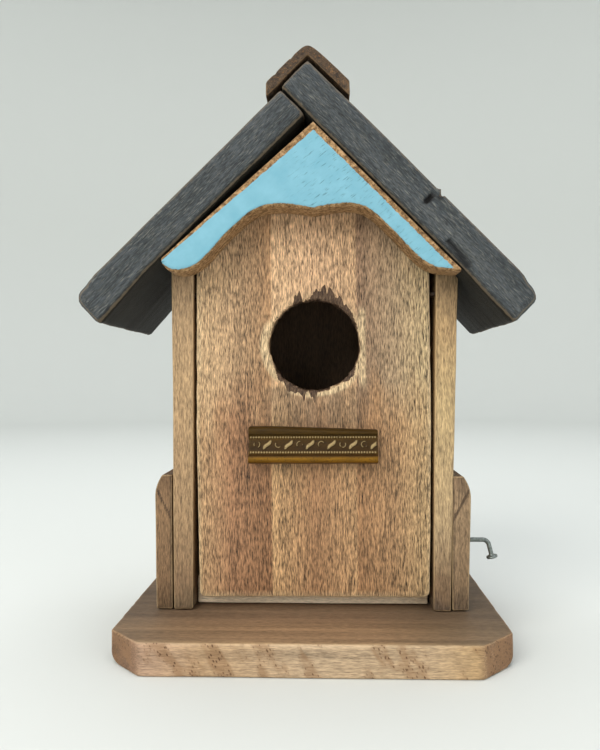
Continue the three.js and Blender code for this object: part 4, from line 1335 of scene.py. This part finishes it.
def straight_nail(node):
    """A turned nail on the frame nail's own axis, with a domed head and a long point."""
    points = np.unique(np.round(corners_of(node), 3), axis=0)
    middle = points.mean(axis=0)
    axis = np.linalg.svd(points - middle)[2][0]
    place = (points - middle) @ axis
    away = np.linalg.norm(points - middle - place[:, None] * axis, axis=1)
    if away[place > 0].max() > away[place < 0].max():
        axis, place = -axis, -place
    top, length = middle + axis * place.min(), np.ptp(place)
    head = away.max()
    shank = np.median(away[(place > place.min() + length * 0.5) & (away > 0.2)])
    flare = 0.55 * head if "screw" in node else 0.3 * head
    profile = np.array([
        (0.0, 0), (0.02, 0.45 * head), (0.08, 0.8 * head), (0.22, 0.95 * head), (0.4, head),
        (0.62, 0.98 * head), (0.62 + flare, shank + 0.15), (0.8 + flare, shank),
        (length - 2.4 * shank, shank), (length - 1.0 * shank, 0.55 * shank),
        (length - 0.15, 0.15 * shank), (length, 0)])
    centres = top + profile[:, :1] * axis
    side = np.cross(axis, (0.0, 1.0, 0.0) if abs(axis[1]) < 0.9 else (1.0, 0.0, 0.0))
    side = side / np.linalg.norm(side)
    ones = np.ones((len(profile), 1))
    points, faces = carried_rings(centres, ones * side, ones * np.cross(axis, side), profile[:, 1])
    return make_piece(node, points, faces, PIVOT_STEEL if "pivot" in node else NAIL_STEEL)


for nail in sorted(name for name in frame["nodes"] if "nail" in name or "brad" in name
                   or "screw" in name):
    if nail != "latch_nail":
        straight_nail(nail)

# %% [markdown]
# ## Latch nail
# A long nail slides in from the right through the wall and stops the door. Its end is bent down
# for a finger to pull. The path is a straight run, an arc and a short leg.

# %% Bent nail
LATCH = {"radius": 0.95, "bend": 72.6, "bend_radius": 2.8, "turn": math.radians(76), "leg": 4.6,
         "head": 2.35, "point": 2.5}


def latch_nail():
    """Path angle a(s) is 0, then grows over the bend to turn.

    The centre line is the sum of (cos a, -sin a) ds.
    """
    low, high = box_mm("latch_nail")
    height, y = high[2] - LATCH["radius"], (low[1] + high[1]) / 2
    straight = np.concatenate([[0, 0.3, 1.2, LATCH["point"]],
                               np.linspace(low[0] + 4, LATCH["bend"], 14) - low[0]])
    bend = LATCH["bend_radius"] * LATCH["turn"]
    curve = straight[-1] + np.linspace(0, bend, 16)[1:]
    leg = curve[-1] + np.array([1.2, 2.4, 3.4, 4.0, LATCH["leg"] - 0.2])
    head = curve[-1] + LATCH["leg"] + np.array([0.0, 0.2, 0.7, 0.95, 1.06, 1.1])
    run = np.concatenate([straight, curve, leg, head])
    angle = np.clip((run - straight[-1]) / LATCH["bend_radius"], 0, LATCH["turn"])
    middle = (angle[1:] + angle[:-1]) / 2
    steps = np.diff(run)
    x = low[0] + np.concatenate([[0], np.cumsum(np.cos(middle) * steps)])
    z = height - np.concatenate([[0], np.cumsum(np.sin(middle) * steps)])
    radii = np.full(len(run), LATCH["radius"])
    radii[:4] = np.array([0, 0.25, 0.65, 1.0]) * LATCH["radius"]
    wide = LATCH["head"]
    radii[-6:] = [0.86 * wide, 0.97 * wide, wide, 0.95 * wide, 0.7 * wide, 0]
    radii[-7] = 1.2
    centres = np.stack([x, np.full(len(x), y), z], axis=1)
    normals = np.stack([np.sin(angle), 0 * angle, np.cos(angle)], axis=1)
    across = np.broadcast_to(np.array([0.0, 1.0, 0.0]), normals.shape)
    points, faces = carried_rings(centres, normals, across, radii)
    points = np.clip(points, low, high)
    finish = steel_finish("galvanised_latch_nail", "#8d938f", "#5c625f", 0.15, 0.36)
    return make_piece("latch_nail", points, faces, finish)


latch_nail()

# %% [markdown]
# ## Stage
# A shallow bowl stands in for a paper sweep: a flat floor that curves up into a wall all round,
# so that every view has the same pale ground. Its section is a line, a quarter round and a
# line, turned about Z. It is open at the top, where the sky light comes in.


# %% Paper sweep
def paper_sweep():
    """Radius and height along the section, turned: x = r cos a, y = r sin a."""
    flat, bend, wall = 1.5, 0.6, 2.4
    arc = np.linspace(0, math.pi / 2, 17)
    radius = np.concatenate([np.linspace(0.02, flat, 8)[:-1], flat + bend * np.sin(arc),
                             [flat + bend]])
    height = np.concatenate([np.zeros(7), bend * (1 - np.cos(arc)), [wall]])
    turn = np.linspace(0, 2 * math.pi, 97)[:-1]
    points = np.stack([radius[:, None] * np.cos(turn), radius[:, None] * np.sin(turn),
                       np.broadcast_to(height[:, None], (len(height), len(turn)))], axis=-1)
    number = np.arange(points[..., 0].size).reshape(points.shape[:2])
    beside = np.roll(number, -1, axis=1)
    faces = np.stack([number[:-1], number[1:], beside[1:], beside[:-1]], -1).reshape(-1, 4)
    mesh = bpy.data.meshes.new("paper_sweep")
    mesh.from_pydata(points.reshape(-1, 3), [], faces.tolist() + [number[0].tolist()])
    mesh.polygons.foreach_set("use_smooth", np.ones(len(mesh.polygons), dtype=bool))
    mesh.update()
    sweep = bpy.data.objects.new("paper_sweep", mesh)
    bpy.context.scene.collection.objects.link(sweep)
    paper, _, shader = new_finish("pale_paper", 0.9, specular=0.1)
    shader.inputs["Base Color"].default_value = linear("#d6d8d4")
    mesh.materials.append(paper)
    return sweep


paper_sweep()

# %% [markdown]
# ## Light
# Plain soft studio light: a large panel above and to the left of the front, a weaker one from
# the right, and pale light from all round. Each panel faces the middle of the house.

# %% Panels and surroundings
PANELS = [                      # name, place in m, side in m, watts, tint
    ("key_panel", (-0.75, -1.15, 1.05), 1.1, 19.6, "#fffdf8"),
    ("fill_panel", (1.15, -1.0, 0.55), 1.2, 5.8, "#f4f8ff"),
    ("top_panel", (0.0, 0.25, 1.9), 1.6, 20.5, "#f8faff"),
]


def aimed(place, target):
    """A turn that points -Z from place to target."""
    return (Vector(target) - Vector(place)).to_track_quat("-Z", "Y").to_euler()


for name, place, side, watts, tint in PANELS:
    lamp = bpy.data.lights.new(name, "AREA")
    lamp.shape = "SQUARE"
    lamp.size = side
    lamp.energy = watts
    lamp.color = linear(tint)[:3]
    panel = bpy.data.objects.new(name, lamp)
    panel.location = place
    panel.rotation_euler = aimed(place, (0, 0, 0.12))
    bpy.context.scene.collection.objects.link(panel)

world = bpy.data.worlds.new("pale_sky")
world.use_nodes = True
sky = world.node_tree.nodes["Background"]
sky.inputs["Color"].default_value = linear("#e6ebee")
sky.inputs["Strength"].default_value = 0.7
bpy.context.scene.world = world

# %% [markdown]
# ## Camera
# A short lens held close, level with the perch and a hair to the right of the middle. It looks
# slightly left and up, and is tilted by a third of a degree, as a hand-held camera is.

# %% Camera
CAMERA = {"place": (0.0070, -0.3108, 0.1113), "left": math.radians(2.18),
          "up": math.radians(0.23), "tilt": math.radians(-0.30), "lens": 33.6}


def hand_held(place, left, up, tilt, lens):
    """Axes of the camera: forward from its two angles, then right and up rolled by tilt."""
    forward = Vector((-math.sin(left) * math.cos(up), math.cos(left) * math.cos(up), math.sin(up)))
    right = Vector((math.cos(left), math.sin(left), 0))
    above = right.cross(forward)
    across = right * math.cos(tilt) + above * math.sin(tilt)
    above = above * math.cos(tilt) - right * math.sin(tilt)
    data = bpy.data.cameras.new("front_camera")
    data.lens = lens
    data.sensor_width = 36.0
    data.sensor_fit = "AUTO"
    data.clip_start = 0.01
    camera = bpy.data.objects.new("front_camera", data)
    axes = Matrix((across, above, -forward)).transposed().to_4x4()
    camera.matrix_world = Matrix.Translation(place) @ axes
    bpy.context.scene.collection.objects.link(camera)
    return camera


bpy.context.scene.camera = hand_held(**CAMERA)
bpy.context.scene.view_settings.view_transform = "Standard"
